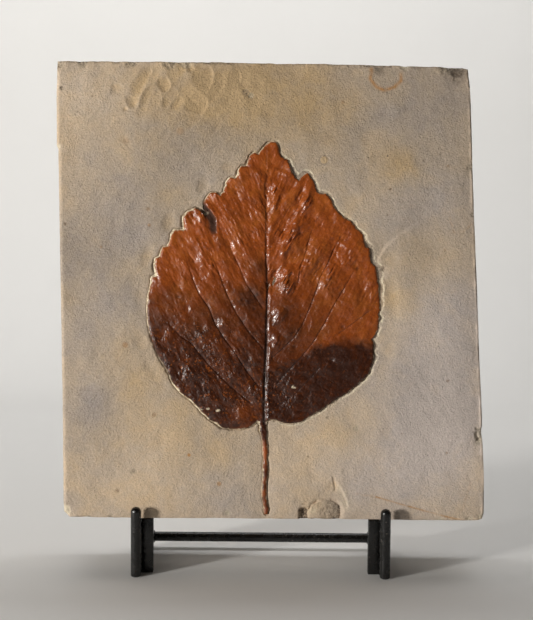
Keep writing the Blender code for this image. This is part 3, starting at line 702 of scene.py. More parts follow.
# Shared loops
stalk_line = spaced(trace(STALK), 1.3 * MM, closed=False)
stalk_half = np.interp(-stalk_line[:, 1], -trace(STALK)[:, 1], [s[2] for s in STALK]) * TRACE_STEP
stalk_half *= 1 + 0.26 * hills(stalk_line, 3.1 * MM, 31) + 0.12 * hills(stalk_line, 1.5 * MM, 33)
stalk_line[:, 0] += 0.22 * MM * hills(stalk_line, 4.3 * MM, 32)
stalk_left = stalk_line - np.c_[stalk_half, np.zeros(len(stalk_half))]
stalk_right = stalk_line + np.c_[stalk_half, np.zeros(len(stalk_half))]
leaf_loop = np.vstack([trace(LEAF_LEFT), stalk_left, stalk_right[::-1], trace(LEAF_RIGHT)])
slab_loop = trace(SLAB_TRACE)
slab_loop[BOTTOM_CORNERS, 1] = SLAB_BOTTOM


def moat_width(points):
    """Width of the groove dug round the leaf, in metres, at face points near the leaf."""
    steps = in_trace(points)
    x, y = steps.T
    right = ramp(x, 268, 40) * ramp(y, 420, -60)
    width = 1.40 + 0.35 * right
    coarse = (0.26 + 0.26 * right) * hills(points, 4.4 * MM, 41)
    width += coarse + (0.12 + 0.26 * right) * hills(points, 1.9 * MM, 42)
    width += 0.25 * np.sin(points[:, 1] / (0.60 * MM)) * places(steps, GROOVE_RIPPLED)
    width += places(steps, GROOVE_TEETH)
    width += places(steps, GROOVE_BROAD)
    below = ramp(y, 425, 15)
    at_stalk = 0.62 + 0.15 * hills(points, 4.0 * MM, 43) + 0.45 * (x > 265)
    width = width * (1 - below) + below * at_stalk
    return np.clip(width, 0.50, 3.4) * MM


def wall_run(points):
    """How far the groove's outer wall leans, in metres."""
    steps = in_trace(points)
    run = 0.28 + 0.24 * ramp(steps[:, 0], 262, 50) + places(steps, WALL_LEANS)
    return np.minimum(run * MM, 0.6 * moat_width(points))


def skirt_run(points):
    """How wide the leaf's sloping edge is, in metres: broad towards the light and steep on the other side."""
    x, y = in_trace(points).T
    left = ramp(x, 285, -40)
    run = 0.50 + 0.62 * left + (0.10 + 0.12 * left) * hills(points, 2.4 * MM, 112)
    below = ramp(y, 420, 10)
    return np.clip(run * (1 - below) + 0.5 * below, 0.35, 1.35) * MM


def edge_bevel(points):
    """How wide the worn or broken arris is, in metres, at face points near the slab's edge."""
    steps = in_trace(points)
    x, y = steps.T
    top = ramp(y, 78, -14)
    left = ramp(x, 75, -12) * (1 - top)
    width = 0.55 + 0.55 * left + 0.25 * hills(points, 9 * MM, 51) * (1 - 0.5 * left)
    flaked = 0.75 * np.maximum(0, hills(points, 7 * MM, 52))
    flaked += 0.45 * np.maximum(0, hills(points, 2.2 * MM, 53))
    width += top * (flaked - 0.1) + places(steps, WORN_PLACES)
    return np.clip(width, 0.35, 4.0) * MM


def scraped_face(points, steps, from_leaf):
    """Height of the scraped face in millimetres: broad waves, strokes and rows of shallow scallops."""
    x = steps[:, 0]
    a = points[:, 0] / MM
    v = points[:, 1] / MM

    # Broad waves, the hollow that runs round the leaf, and a swell along the right edge
    h = 0.35 * np.sin(a / 31.0 + 0.6) * np.cos(v / 37.0 - 0.4)
    h += 0.22 * np.sin(a / 13.0 - v / 17.0)
    h -= 0.75 * np.exp(-from_leaf / 7.0)
    h += 0.35 * bell(a - 75.0, 9.0) * ramp(np.abs(v + 8.0), 70, -10)
    waves = 0.36 * hills(points, 16 * MM, 1) + 0.17 * hills(points, 7 * MM, 2)
    h += waves + 0.07 * hills(points, 3.4 * MM, 10)

    # Brush and knife strokes, rising to the right on the left half and falling to the right on the right half
    left_half = ramp(x, 330, -130)
    strokes_left = rough(turned(points, -38, 2.0 * MM, 12 * MM), 1.0, 3, 2)
    strokes_right = rough(turned(points, 24, 1.9 * MM, 8 * MM), 1.0, 4, 2)
    brushed = 0.35 + 0.9 * eased(0.5 + 0.8 * hills(points, 13 * MM, 13))
    h += 0.085 * brushed * (strokes_left * left_half + 0.75 * strokes_right * (1 - left_half))
    steep = rough(turned(points, -12, 1.5 * MM, 12 * MM), 1.0, 14, 2)
    h += 0.050 * steep * ramp(x, 92, -25) + 0.04 * steep * ramp(x, 452, 15)
    h += 0.035 * rough(points, 2.0 * MM, 5, 2)

    # Rows of shallow scallops left by the tool
    deep = np.clip(places(steps, DEEP_SCALLOPS), 0, 1)
    faint = np.clip(places(steps, FAINT_SCALLOPS), 0, 1)
    bowls = scallops(turned(points, -40, 1.0, 1.5), 8.5 * MM, 6)
    return h + (0.16 * deep + 0.10 * faint) * np.minimum(bowls, 1.0)


def tool_marks(points, steps, h):
    """The face with its gouges, tool edges and hatching, the gouges' own height, and how scraped it is."""
    gouged = np.zeros(len(points))
    scraped = np.zeros(len(points))
    uneven = 0.08 * hills(points, 2.0 * MM, 12)
    for x, y, half_width, half_length, turn, depth in GOUGES:
        half_width = half_width * TRACE_STEP
        half_length = half_length * TRACE_STEP
        local = turned(points - np.array(on_face(x, y)), turn, half_width, half_length)
        warp = 1 + 0.20 * hills(points, 0.55 * half_length, 11) + uneven
        gouged = np.minimum(gouged, GOUGE_DEPTH * depth * ((local**2).sum(axis=1) * warp - 1.0))
    h = h + gouged
    for low_side, reach, depth, line in TOOL_EDGES:
        off, side, along = beside(points, trace(line))
        off = off / MM
        strength = 0.55 if low_side > 0 and reach > 4 else 1.0
        fade = eased(along / 0.12) * eased((1 - along) / 0.18) * strength
        reach = reach * TRACE_STEP / MM
        in_hollow = side == -low_side
        hollow = bell(off, reach) * eased(off / min(1.4, 0.4 * reach))
        h += depth * fade * (0.22 * bell(off, 0.9) - np.where(in_hollow, hollow, 0.0))
        scraped += 0.5 * depth * fade * hollow * in_hollow
    hatch = np.sin((points[:, 0] * 0.5 + points[:, 1]) / (0.42 * MM) + 2.2 * hills(points, 6 * MM, 8))
    return h + 0.012 * hatch * places(steps, HATCHED_PLACES), gouged, scraped


def single_marks(points, steps, h, ring):
    """The face with its ledge, ring pit, scratch and wash, and the lit line along the ledge, which is raised
    a little and painted lighter as highlight.
    """
    x = steps[:, 0]
    ledge, side, _ = beside(points, trace(LEDGE))
    h = h - 0.50 * (bell(ledge, 5.0 * MM) * ramp(x, 440, -30)) * (side < 0) * eased(ledge / (1.0 * MM))
    # The ledge's lit rim: raised a little, and painted lighter as highlight through the paleness share
    rim_lit = bell(ledge, 0.7 * MM) * ramp(x, 425, -30)
    h += 0.12 * rim_lit * (side > 0)
    h -= 0.28 * bell(ring - RING_RADIUS, 0.9) * (0.6 + 0.4 * hills(points, 1.5 * MM, 9))
    scratch, _, _ = beside(points, trace(SCRATCH))
    h -= 0.10 * bell(scratch, 0.4 * MM)

    # Shallow wash between the leaf and the chipped pocket at the bottom edge
    h -= 0.5 * places(steps, WASHED_PLACES)
    h += 0.22 * places(steps, RAISED_PLACES)
    h -= 0.30 * places(steps, SUNK_PLACES)
    return h, rim_lit


def chipped(points, steps, h):
    """The face with its rough-floored chips, how fresh they are, and how dark they are painted: partly soil,
    partly painted shade in their hollows.
    """
    fresh_and_lit = np.zeros(len(points))
    soiled_and_shaded = np.zeros(len(points))
    ragged = 0.1 * hills(points, 0.9 * MM, 62)
    floor = 0.75 + 0.3 * rough(points, 1.5 * MM, 63, 2)
    for x, y, radius, depth, new in CHIPS:
        off = np.linalg.norm(steps - np.array([x, y]), axis=1) / radius
        off = off * (1 + 0.22 * hills(points, radius * 0.45 * TRACE_STEP, 61) + ragged)
        hollow = ramp(off, 1.15, -0.55)
        h = h - hollow * depth * floor
        fresh_and_lit = np.maximum(fresh_and_lit, hollow * new)
        # Painted darker where not fresh: partly soil, partly painted shade in the hollow
        soiled_and_shaded = np.maximum(soiled_and_shaded, hollow * (1 - new) * 0.55)
    return h, fresh_and_lit, soiled_and_shaded


def pocketed(points, steps, h, fresh_and_lit, soiled_and_shaded):
    """The face with the pocket at the bottom edge: a hollow painted dark as shade, then a rounded lump with a
    gap round it, painted darker to the right.
    """
    x = steps[:, 0]
    off_lump = distance(points, trace(POCKET_LUMP)) / MM
    off_lump = np.where(inside(points, trace(POCKET_LUMP)), off_lump, -off_lump)
    off_lump += 0.45 * hills(points, 3.4 * MM, 129) + 0.28 * hills(points, 1.5 * MM, 130)
    in_lump = off_lump > 0
    off_lump = np.abs(off_lump)
    across_lump = np.clip((x - 313) / 27, 0, 1)
    lump_top = 0.1 - 1.70 * across_lump + 0.30 * hills(points, 3.4 * MM, 121)
    lump_top += 0.14 * hills(points, 1.3 * MM, 122) - np.exp(-off_lump / 0.8)
    gap = 1.3 * bell(off_lump, 1.5) * ramp(x, 309, 7) * (0.7 + 0.5 * hills(points, 2.4 * MM, 131))
    hollow = np.linalg.norm((steps - np.array(POCKET_HOLLOW)) / np.array(POCKET_HALF), axis=1)
    hollow = ramp(hollow * (1 + 0.2 * hills(points, 2.0 * MM, 132)), 1.15, -0.45)
    h = np.where(in_lump, np.minimum(h, lump_top), h - np.maximum(gap, 2.3 * hollow))
    # Breaks painted cream where they face the lamp: partly fresh stone, partly painted highlight
    fresh_and_lit = np.maximum(fresh_and_lit, places(steps, LIT_BREAKS) * (0.6 + 0.5 * hills(points, 2.0 * MM, 123)))
    # Painted shade in the hollow, and the lump darker to the right: partly brown stone, partly painted shade
    # on its slope turned from the lamp
    soiled_and_shaded = np.maximum(soiled_and_shaded, 0.85 * hollow * (1 - in_lump))
    lump_brown_and_shade = in_lump * 0.72 * across_lump * (0.7 + 0.5 * hills(points, 1.6 * MM, 124))
    return h, fresh_and_lit, np.maximum(soiled_and_shaded, lump_brown_and_shade)


def worn_arris(points, steps, h):
    """The face with its worn and flecked edge, and the shares of wear, of the lit line painted along the
    arris as highlight, and of flecks.
    """
    x, y = steps.T
    from_edge = distance(points, slab_loop)
    bevel = edge_bevel(points)
    worn = np.clip(1 - from_edge / bevel, 0, 1)
    h = h - worn**1.5 * bevel / MM * 0.95
    h += (0.12 + 0.30 * (y < 90)) * worn * rough(points, 1.3 * MM, 64, 2)
    # Painted highlight: a light line along the arris on the left, top and right, where it faces the lamp or a
    # raised burr catches it
    lit_arris = bell(from_edge / MM - 0.9, 0.6) * (0.6 + 0.6 * hills(points, 4.0 * MM, 125))
    lit_arris *= ramp(x, 440, 20) + 0.7 * ramp(x, 80, -8) + 0.6 * ramp(y, 72, -3)
    h += 0.32 * lit_arris * ramp(x, 440, 20)
    flecks = ramp(y, 78, -6) * bell(from_edge / MM - 0.7, 0.5)
    flecks *= eased((hills(points, 2.8 * MM, 68) + 0.7 * hills(points, 1.1 * MM, 69) - 0.25) / 0.3)
    h -= 0.35 * flecks
    return h, worn, lit_arris, flecks


def front_relief(points):
    """Height of the slab's worked face in millimetres, with its colour shares."""
    steps = in_trace(points)
    x, y = steps.T
    outside = ~inside(points, leaf_loop)
    from_leaf = np.where(outside, distance(points, leaf_loop) / MM, 0.0)
    ring = np.linalg.norm(steps - np.array(RING_PIT), axis=1)
    h = scraped_face(points, steps, from_leaf)
    h, gouged, scraped = tool_marks(points, steps, h)
    h, rim_lit = single_marks(points, steps, h, ring)
    h, fresh_and_lit, soiled_and_shaded = chipped(points, steps, h)
    h, fresh_and_lit, soiled_and_shaded = pocketed(points, steps, h, fresh_and_lit, soiled_and_shaded)
    h, worn, lit_arris, flecks = worn_arris(points, steps, h)
    h = np.minimum(h, 0.75) - 0.35

    # The groove round the leaf
    uneven = 1 + ramp(x, 262, 50)
    ragged = from_leaf + uneven * (0.19 * hills(points, 1.9 * MM, 118) + 0.11 * hills(points, 0.95 * MM, 119))
    width = moat_width(points)
    run = wall_run(points)
    drop = np.clip((width - ragged * MM) / run, 0, 1)
    right_wall = ramp(x, 262, 30)
    floor_rise = 0.16 * hills(points, 2.5 * MM, 65) + 0.70 * right_wall * eased(from_leaf / 0.4)
    floor = -POCKET_DEEP + floor_rise * outside
    lip = np.exp(-np.abs(ragged * MM - width) / (0.35 * MM)) * outside
    patchy = eased(0.55 + 0.9 * hills(points, 3.1 * MM, 120) + 0.5 * hills(points, 1.1 * MM, 66))
    thin_lip = np.exp(-np.abs(from_leaf * MM - width) / (0.22 * MM)) * outside
    h += (0.30 * right_wall - 0.08) * lip * patchy
    h = h * (1 - drop) + floor * drop
    deep = eased(from_leaf / 0.5) * (ragged * MM < width - 0.9 * run) * outside

    # Cream of the cut outer wall and lip, painted only on the right where they face the lamp: partly the cut
    # stone's colour, partly painted highlight
    cream = np.maximum(0.65 * thin_lip, np.minimum(3.0 * drop, 1.0) * (1 - deep)) * right_wall
    # Soil and painted shade: painted shade on the groove's floor, less on the right where the floor is raised
    # into the light, painted shade on the worn top arris that faces away from the lamp, and dark flecks along
    # the top edge
    soil_and_shade = soiled_and_shaded + (0.55 - 0.30 * right_wall) * deep + 0.2 * worn * ramp(y, 72, -3) + 0.85 * flecks
    ochre = np.zeros(len(points))
    # Painted shade in the groove below the leaf's notch
    soil_and_shade += 0.8 * places(steps, NOTCH_GROOVE_SHADE) * drop
    for spot_x, spot_y, radius, rusty, dark in SPOTS:
        spot = eased(1.5 - np.linalg.norm(steps - np.array([spot_x, spot_y]), axis=1) / radius)
        ochre = np.maximum(ochre, spot * rusty)
        soil_and_shade = np.maximum(soil_and_shade, spot * dark)
    for line, half, rusty in STAIN_LINES:
        off, _, _ = beside(points, trace(line))
        stain = bell(off, half * TRACE_STEP) * (0.7 + 0.4 * hills(points, 2.2 * MM, 67))
        ochre = np.maximum(ochre, stain * rusty)
    ring_edge = bell(ring - RING_RADIUS - 0.2, 0.8) * (0.5 + 0.5 * hills(points, 1.5 * MM, 9))
    shares = {
        "warmth": places(steps, WARM_PLACES) - 0.625 * gouged + scraped + 0.9 * eased(RING_RADIUS - ring),
        # Painted light and shade: broad lighter and darker places, and painted highlights along the lit arris
        # and the lit ledge
        "paleness_and_painted_light": places(steps, TONE_AND_PAINTED_LIGHT_PLACES) + 0.45 * lit_arris + 0.22 * rim_lit,
        # Cream: partly fresh cut stone, partly painted highlight on lit walls and breaks
        "cream": cream * (0.45 + 0.55 * patchy) * outside + 0.8 * fresh_and_lit,
        "soil_and_shade": np.maximum(soil_and_shade, 0.7 * ring_edge),
        "ochre": ochre,
        "stroked": np.minimum(places(steps, STROKED_PLACES), 1.0),
        "broken": 0.5 * worn * (y < 75),
    }
    return h, shares


# Making meshes


def linked(name, data):
    """A new object of the scene."""
    made = bpy.data.objects.new(name, data)
    bpy.context.scene.collection.objects.link(made)
    return made


def solid(name, points, faces, paint, shares):
    """A smooth closed mesh piece with named shares for its material, its normals outwards."""
    mesh = bpy.data.meshes.new(name)
    mesh.from_pydata(points.tolist(), [], faces)
    work = bmesh.new()
    work.from_mesh(mesh)
    bmesh.ops.recalc_face_normals(work, faces=work.faces)
    work.to_mesh(mesh)
    work.free()
    for key, values in shares.items():
        layer = mesh.attributes.new(key, "FLOAT", "POINT")
        layer.data.foreach_set("value", np.asarray(values, np.float32))
    mesh.polygons.foreach_set("use_smooth", np.ones(len(mesh.polygons), bool))
    mesh.materials.append(paint)
    return linked(name, mesh)


# Shader tools


VECTOR_INPUT = ("Vector", "NodeSocketVector", None)


def shader_group(name, inputs, outputs):
    """A new shader node group with named sockets; returns it with its input and output nodes."""
    tree = bpy.data.node_groups.new(name, "ShaderNodeTree")
    for label, kind, value in inputs:
        socket = tree.interface.new_socket(name=label, in_out="INPUT", socket_type=kind)
        if value is not None:
            socket.default_value = value
    for label, kind in outputs:
        tree.interface.new_socket(name=label, in_out="OUTPUT", socket_type=kind)
    return tree, tree.nodes.new("NodeGroupInput"), tree.nodes.new("NodeGroupOutput")


def put(value, socket, tree):
    """Sets a socket's value, or links it when the value is another node's socket."""
    if isinstance(value, bpy.types.NodeSocket):
        tree.links.new(value, socket)
    else:
        socket.default_value = value


def wired(tree, kind, inputs, **settings):
    """A new node with its settings made and its inputs set or linked."""
    node = tree.nodes.new(kind)
    for key, value in settings.items():
        setattr(node, key, value)
    for label, value in inputs.items():
        put(value, node.inputs[label], tree)
    return node


def maths(tree, operation, *values, clamp=False):
    node = wired(tree, "ShaderNodeMath", dict(enumerate(values)), operation=operation, use_clamp=clamp)
    return node.outputs[0]


def noise_of(tree, vector, scale, detail=2.0, roughness=0.5, distortion=0.0):
    inputs = {"Vector": vector, "Scale": scale, "Detail": detail, "Roughness": roughness}
    return wired(tree, "ShaderNodeTexNoise", {**inputs, "Distortion": distortion}).outputs["Fac"]


def spread(tree, value, low, high, to_low=0.0, to_high=1.0):
    """A value's range from low to high, mapped smoothly to another range."""
    inputs = {"Value": value, "From Min": low, "From Max": high, "To Min": to_low, "To Max": to_high}
    return wired(tree, "ShaderNodeMapRange", inputs, interpolation_type="SMOOTHSTEP").outputs["Result"]


def swayed(tree, base, value, amount):
    """A base value with a share of another that is centred on a half."""
    return maths(tree, "MULTIPLY_ADD", maths(tree, "SUBTRACT", value, 0.5), amount, base)


def mixed(tree, share, a, b, blend="MIX"):
    """A colour laid over another by a share."""
    under, over = [(*value, 1.0) if isinstance(value, tuple) else value for value in (a, b)]
    settings = {"data_type": "RGBA", "blend_type": blend, "clamp_factor": True}
    return wired(tree, "ShaderNodeMix", {0: share, 6: under, 7: over}, **settings).outputs[2]


def scaled_vector(tree, vector, scale, turn=(0.0, 0.0, 0.0)):
    return wired(tree, "ShaderNodeMapping", {"Vector": vector, "Rotation": turn, "Scale": scale}).outputs[0]


def share_of(tree, name):
    return wired(tree, "ShaderNodeAttribute", {}, attribute_name=name).outputs["Fac"]


def placed_group(tree, group, vector, **values):
    return wired(tree, "ShaderNodeGroup", {"Vector": vector, **values}, node_tree=group)


def fine_grain_group():
    """Silt-fine grain: a height for the bump and a speckle mask."""
    tree, given, result = shader_group(
        "Fine grain",
        [VECTOR_INPUT, ("Size", "NodeSocketFloat", 0.4), ("Speckle", "NodeSocketFloat", 0.68)],
        [("Height", "NodeSocketFloat"), ("Speckles", "NodeSocketFloat")],
    )
    vector = given.outputs["Vector"]
    frequency = maths(tree, "DIVIDE", 1000.0, given.outputs["Size"])
    tree.links.new(noise_of(tree, vector, frequency, 4.0, 0.62), result.inputs["Height"])
    coarse = noise_of(tree, vector, maths(tree, "MULTIPLY", frequency, 0.45))
    low = given.outputs["Speckle"]
    tree.links.new(spread(tree, coarse, low, maths(tree, "ADD", low, 0.05)), result.inputs["Speckles"])
    return tree


def mottle_group():
    """Cloudy patches of three sizes, between 0 and 1."""
    tree, given, result = shader_group(
        "Mottle",
        [VECTOR_INPUT, ("Size", "NodeSocketFloat", 20.0), ("Contrast", "NodeSocketFloat", 1.0)],
        [("Patches", "NodeSocketFloat")],
    )
    frequency = maths(tree, "DIVIDE", 1000.0, given.outputs["Size"])
    cloud = noise_of(tree, given.outputs["Vector"], frequency, 5.0, 0.58, 0.4)
    centred = maths(tree, "MULTIPLY", maths(tree, "SUBTRACT", cloud, 0.5), given.outputs["Contrast"])
    stretched = maths(tree, "MULTIPLY_ADD", centred, 2.2, 0.5, clamp=True)
    tree.links.new(stretched, result.inputs["Patches"])
    return tree


def strokes_group():
    """Short parallel strokes, as from a brush or scraper, narrow along the vector's first axis."""
    tree, given, result = shader_group(
        "Tool strokes",
        [VECTOR_INPUT, ("Width", "NodeSocketFloat", 0.6), ("Length", "NodeSocketFloat", 6.0),
         ("Detail", "NodeSocketFloat", 3.0)],
        [("Height", "NodeSocketFloat")],
    )
    across = maths(tree, "DIVIDE", 1000.0, given.outputs["Width"])
    along = maths(tree, "DIVIDE", 1000.0, given.outputs["Length"])
    scale = wired(tree, "ShaderNodeCombineXYZ", {0: across, 1: along, 2: along}).outputs[0]
    scaled = wired(tree, "ShaderNodeVectorMath", {0: given.outputs["Vector"], 1: scale}, operation="MULTIPLY")
    strokes = noise_of(tree, scaled.outputs[0], 1.0, given.outputs["Detail"], 0.6, 0.3)
    tree.links.new(strokes, result.inputs["Height"])
    return tree


GRAIN = fine_grain_group()
MOTTLE = mottle_group()
STROKES = strokes_group()


def new_material(name):
    """A material with its Principled shader, node tree and object coordinates."""
    made = bpy.data.materials.new(name)
    made.use_nodes = True
    tree = made.node_tree
    shader = tree.nodes["Principled BSDF"]
    where = tree.nodes.new("ShaderNodeTexCoord").outputs["Object"]
    return made, tree, shader, where


def bumped(tree, shader, height, strength, deep, before=None):
    inputs = {"Strength": strength, "Distance": deep, "Height": height}
    if before is not None:
        inputs["Normal"] = before
    bent = wired(tree, "ShaderNodeBump", inputs).outputs[0]
    tree.links.new(bent, shader.inputs["Normal"])
    return bent


def mottled(tree, vector, size, contrast=1.0):
    """Cloudy patches about that many millimetres across."""
    return placed_group(tree, MOTTLE, vector, Size=size, Contrast=contrast).outputs["Patches"]


def stroked(tree, vector, size, detail=3.0):
    """Strokes of a width and length in millimetres."""
    return placed_group(tree, STROKES, vector, Width=size[0], Length=size[1], Detail=detail).outputs["Height"]


def leaned(tree, vector, degrees):
    """A vector turned in the slab's face, for strokes that run at an angle from upright."""
    return scaled_vector(tree, vector, (1.0, 1.0, 1.0), (0.0, math.radians(degrees), 0.0))


def patched_strokes(tree, where, degrees, size, patch, cover):
    """Leaning strokes in soft patches, centred on zero."""
    lay = leaned(tree, where, degrees)
    height = stroked(tree, lay, size, 1.5)
    shown = spread(tree, mottled(tree, lay, patch, 1.5), *cover)
    return maths(tree, "MULTIPLY", maths(tree, "SUBTRACT", height, 0.5), shown)


# Stone colours
STONE_COOL = (0.462, 0.398, 0.358)
STONE_PLAIN = (0.500, 0.398, 0.298)
STONE_WARM = (0.520, 0.368, 0.205)
STONE_CREAM = (0.800, 0.710, 0.520)
# Dark soil colour, also used as painted shade and for the grain's dark specks
STONE_SOIL_AND_SHADE = (0.120, 0.088, 0.062)
STONE_OCHRE = (0.470, 0.240, 0.085)
STONE_BROKEN = (0.400, 0.300, 0.205)


def matrix_stone():
    """Pale silt stone: beige to grey clouds, tan where scraped, cream where freshly cut and as painted
    highlight where cut walls and breaks face the lamp, and fine grain.
    """
    made, tree, shader, where = new_material("matrix_stone")
    broad = mottled(tree, where, 34.0)
    small = mottled(tree, where, 9.0)
    grain = placed_group(tree, GRAIN, where, Size=0.80, Speckle=0.72)
    pebbly = noise_of(tree, where, 900.0, 2.0, 0.6)

    # Strokes: degrees from upright, width and length, size of the patches, how they fade in, and strength
    sides = wired(tree, "ShaderNodeSeparateXYZ", {0: where})
    wander = swayed(tree, sides.outputs[0], broad, 0.12)
    on_left = spread(tree, wander, -0.01, 0.04, 1.0, 0.15)
    on_right = spread(tree, wander, -0.01, 0.04, 0.10, 0.75)
    strokes = 0.0
    for degrees, size, patch, cover, share in (
        (-42, (0.60, 7.0), 19.0, (0.20, 0.60), on_left),
        (24, (0.65, 4.0), 16.0, (0.35, 0.65), on_right),
        (-12, (0.60, 5.0), 23.0, (0.50, 0.78), 0.9),
        (-62, (0.60, 3.5), 13.0, (0.48, 0.72), 0.8),
        (75, (0.60, 3.0), 11.0, (0.52, 0.75), 0.6),
    ):
        laid = patched_strokes(tree, where, degrees, size, patch, cover)
        strokes = maths(tree, "MULTIPLY_ADD", laid, share, strokes)
    shown = maths(tree, "MULTIPLY_ADD", share_of(tree, "stroked"), 0.80, 0.20)
    strokes = maths(tree, "MULTIPLY", strokes, shown)
    scratches = 0.0
    for degrees, size in ((-36, (0.62, 6.0)), (38, (0.58, 4.2)), (82, (0.60, 3.4)), (-70, (0.55, 4.6))):
        line = stroked(tree, leaned(tree, where, degrees), size, 0.5)
        scratches = maths(tree, "MAXIMUM", spread(tree, line, 0.69, 0.77), scratches)

    # Colour: cool to warm clouds, and the browner broken sides with their beds
    warmth = maths(tree, "MULTIPLY", share_of(tree, "warmth"), 0.5)
    warmth = swayed(tree, warmth, broad, 0.55)
    warmth = swayed(tree, warmth, small, 0.26)
    cooled = mixed(tree, maths(tree, "MULTIPLY", warmth, -1.6), STONE_PLAIN, STONE_COOL)
    colour = mixed(tree, maths(tree, "MULTIPLY", warmth, 1.6), cooled, STONE_WARM)
    broken = share_of(tree, "broken")
    colour = mixed(tree, broken, colour, STONE_BROKEN)
    level = scaled_vector(tree, where, (1.0, 1.0, 1.0), (LEAN, 0.0, 0.0))
    beds = noise_of(tree, scaled_vector(tree, level, (16.0, 360.0, 16.0)), 1.0, 3.0, 0.6, 0.3)
    bedded = maths(tree, "MULTIPLY", maths(tree, "SUBTRACT", beds, 0.5), broken)

    # Tone, lighter and darker by broad places, partly the stone's own tone and partly painted light and
    # shade, with painted highlights along the arris and the ledge
    tone = maths(tree, "ADD", 1.0, share_of(tree, "paleness_and_painted_light"))
    for value, amount in ((small, 0.11), (broad, 0.20), (grain.outputs["Height"], 0.70), (pebbly, 0.48)):
        tone = swayed(tree, tone, value, amount)
    for value, amount in ((strokes, 0.26), (bedded, 1.10), (scratches, 0.10)):
        tone = maths(tree, "MULTIPLY_ADD", value, amount, tone)
    grey = wired(tree, "ShaderNodeCombineColor", {0: tone, 1: tone, 2: tone})
    colour = mixed(tree, 1.0, colour, grey.outputs[0], "MULTIPLY")

    # Cream, partly painted highlight on lit walls and breaks; ochre; dark grain specks; and soil with painted
    # shade
    flecked = spread(tree, noise_of(tree, where, 1100.0, 3.0, 0.65), 0.38, 0.58, 0.25, 1.5)
    for share, paint in (
        (share_of(tree, "cream"), STONE_CREAM),
        (share_of(tree, "ochre"), STONE_OCHRE),
        (maths(tree, "MULTIPLY", grain.outputs["Speckles"], 0.45), STONE_SOIL_AND_SHADE),
        (maths(tree, "MULTIPLY", share_of(tree, "soil_and_shade"), flecked, clamp=True), STONE_SOIL_AND_SHADE),
    ):
        colour = mixed(tree, share, colour, paint)
    tree.links.new(colour, shader.inputs["Base Color"])
    tree.links.new(spread(tree, small, 0.0, 1.0, 0.72, 0.92), shader.inputs["Roughness"])
    shader.inputs["Specular IOR Level"].default_value = 0.3

    relief = 0.0
    for value, amount in ((strokes, 0.52), (scratches, 0.09), (bedded, 2.2), (pebbly, 0.46)):
        relief = maths(tree, "MULTIPLY_ADD", value, amount, relief)
    first = bumped(tree, shader, relief, 1.0, 0.00078)
    bumped(tree, shader, grain.outputs["Height"], 0.80, 0.00052, first)
    return made


# Colours of the leaf's film and of the stone of its edge
FILM_RUST = (0.350, 0.078, 0.0120)
FILM_ORANGE = (0.480, 0.122, 0.0160)
FILM_BROWN = (0.115, 0.022, 0.005)
FILM_CHOCOLATE = (0.040, 0.0098, 0.0030)
FILM_BLACK = (0.009, 0.005, 0.004)
# Dull dark brown, partly painted shade in the tear and along the midrib
FILM_DULL_SHADE = (0.036, 0.018, 0.011)
EDGE_CREAM = (0.80, 0.69, 0.50)
EDGE_TAN = (0.42, 0.32, 0.21)


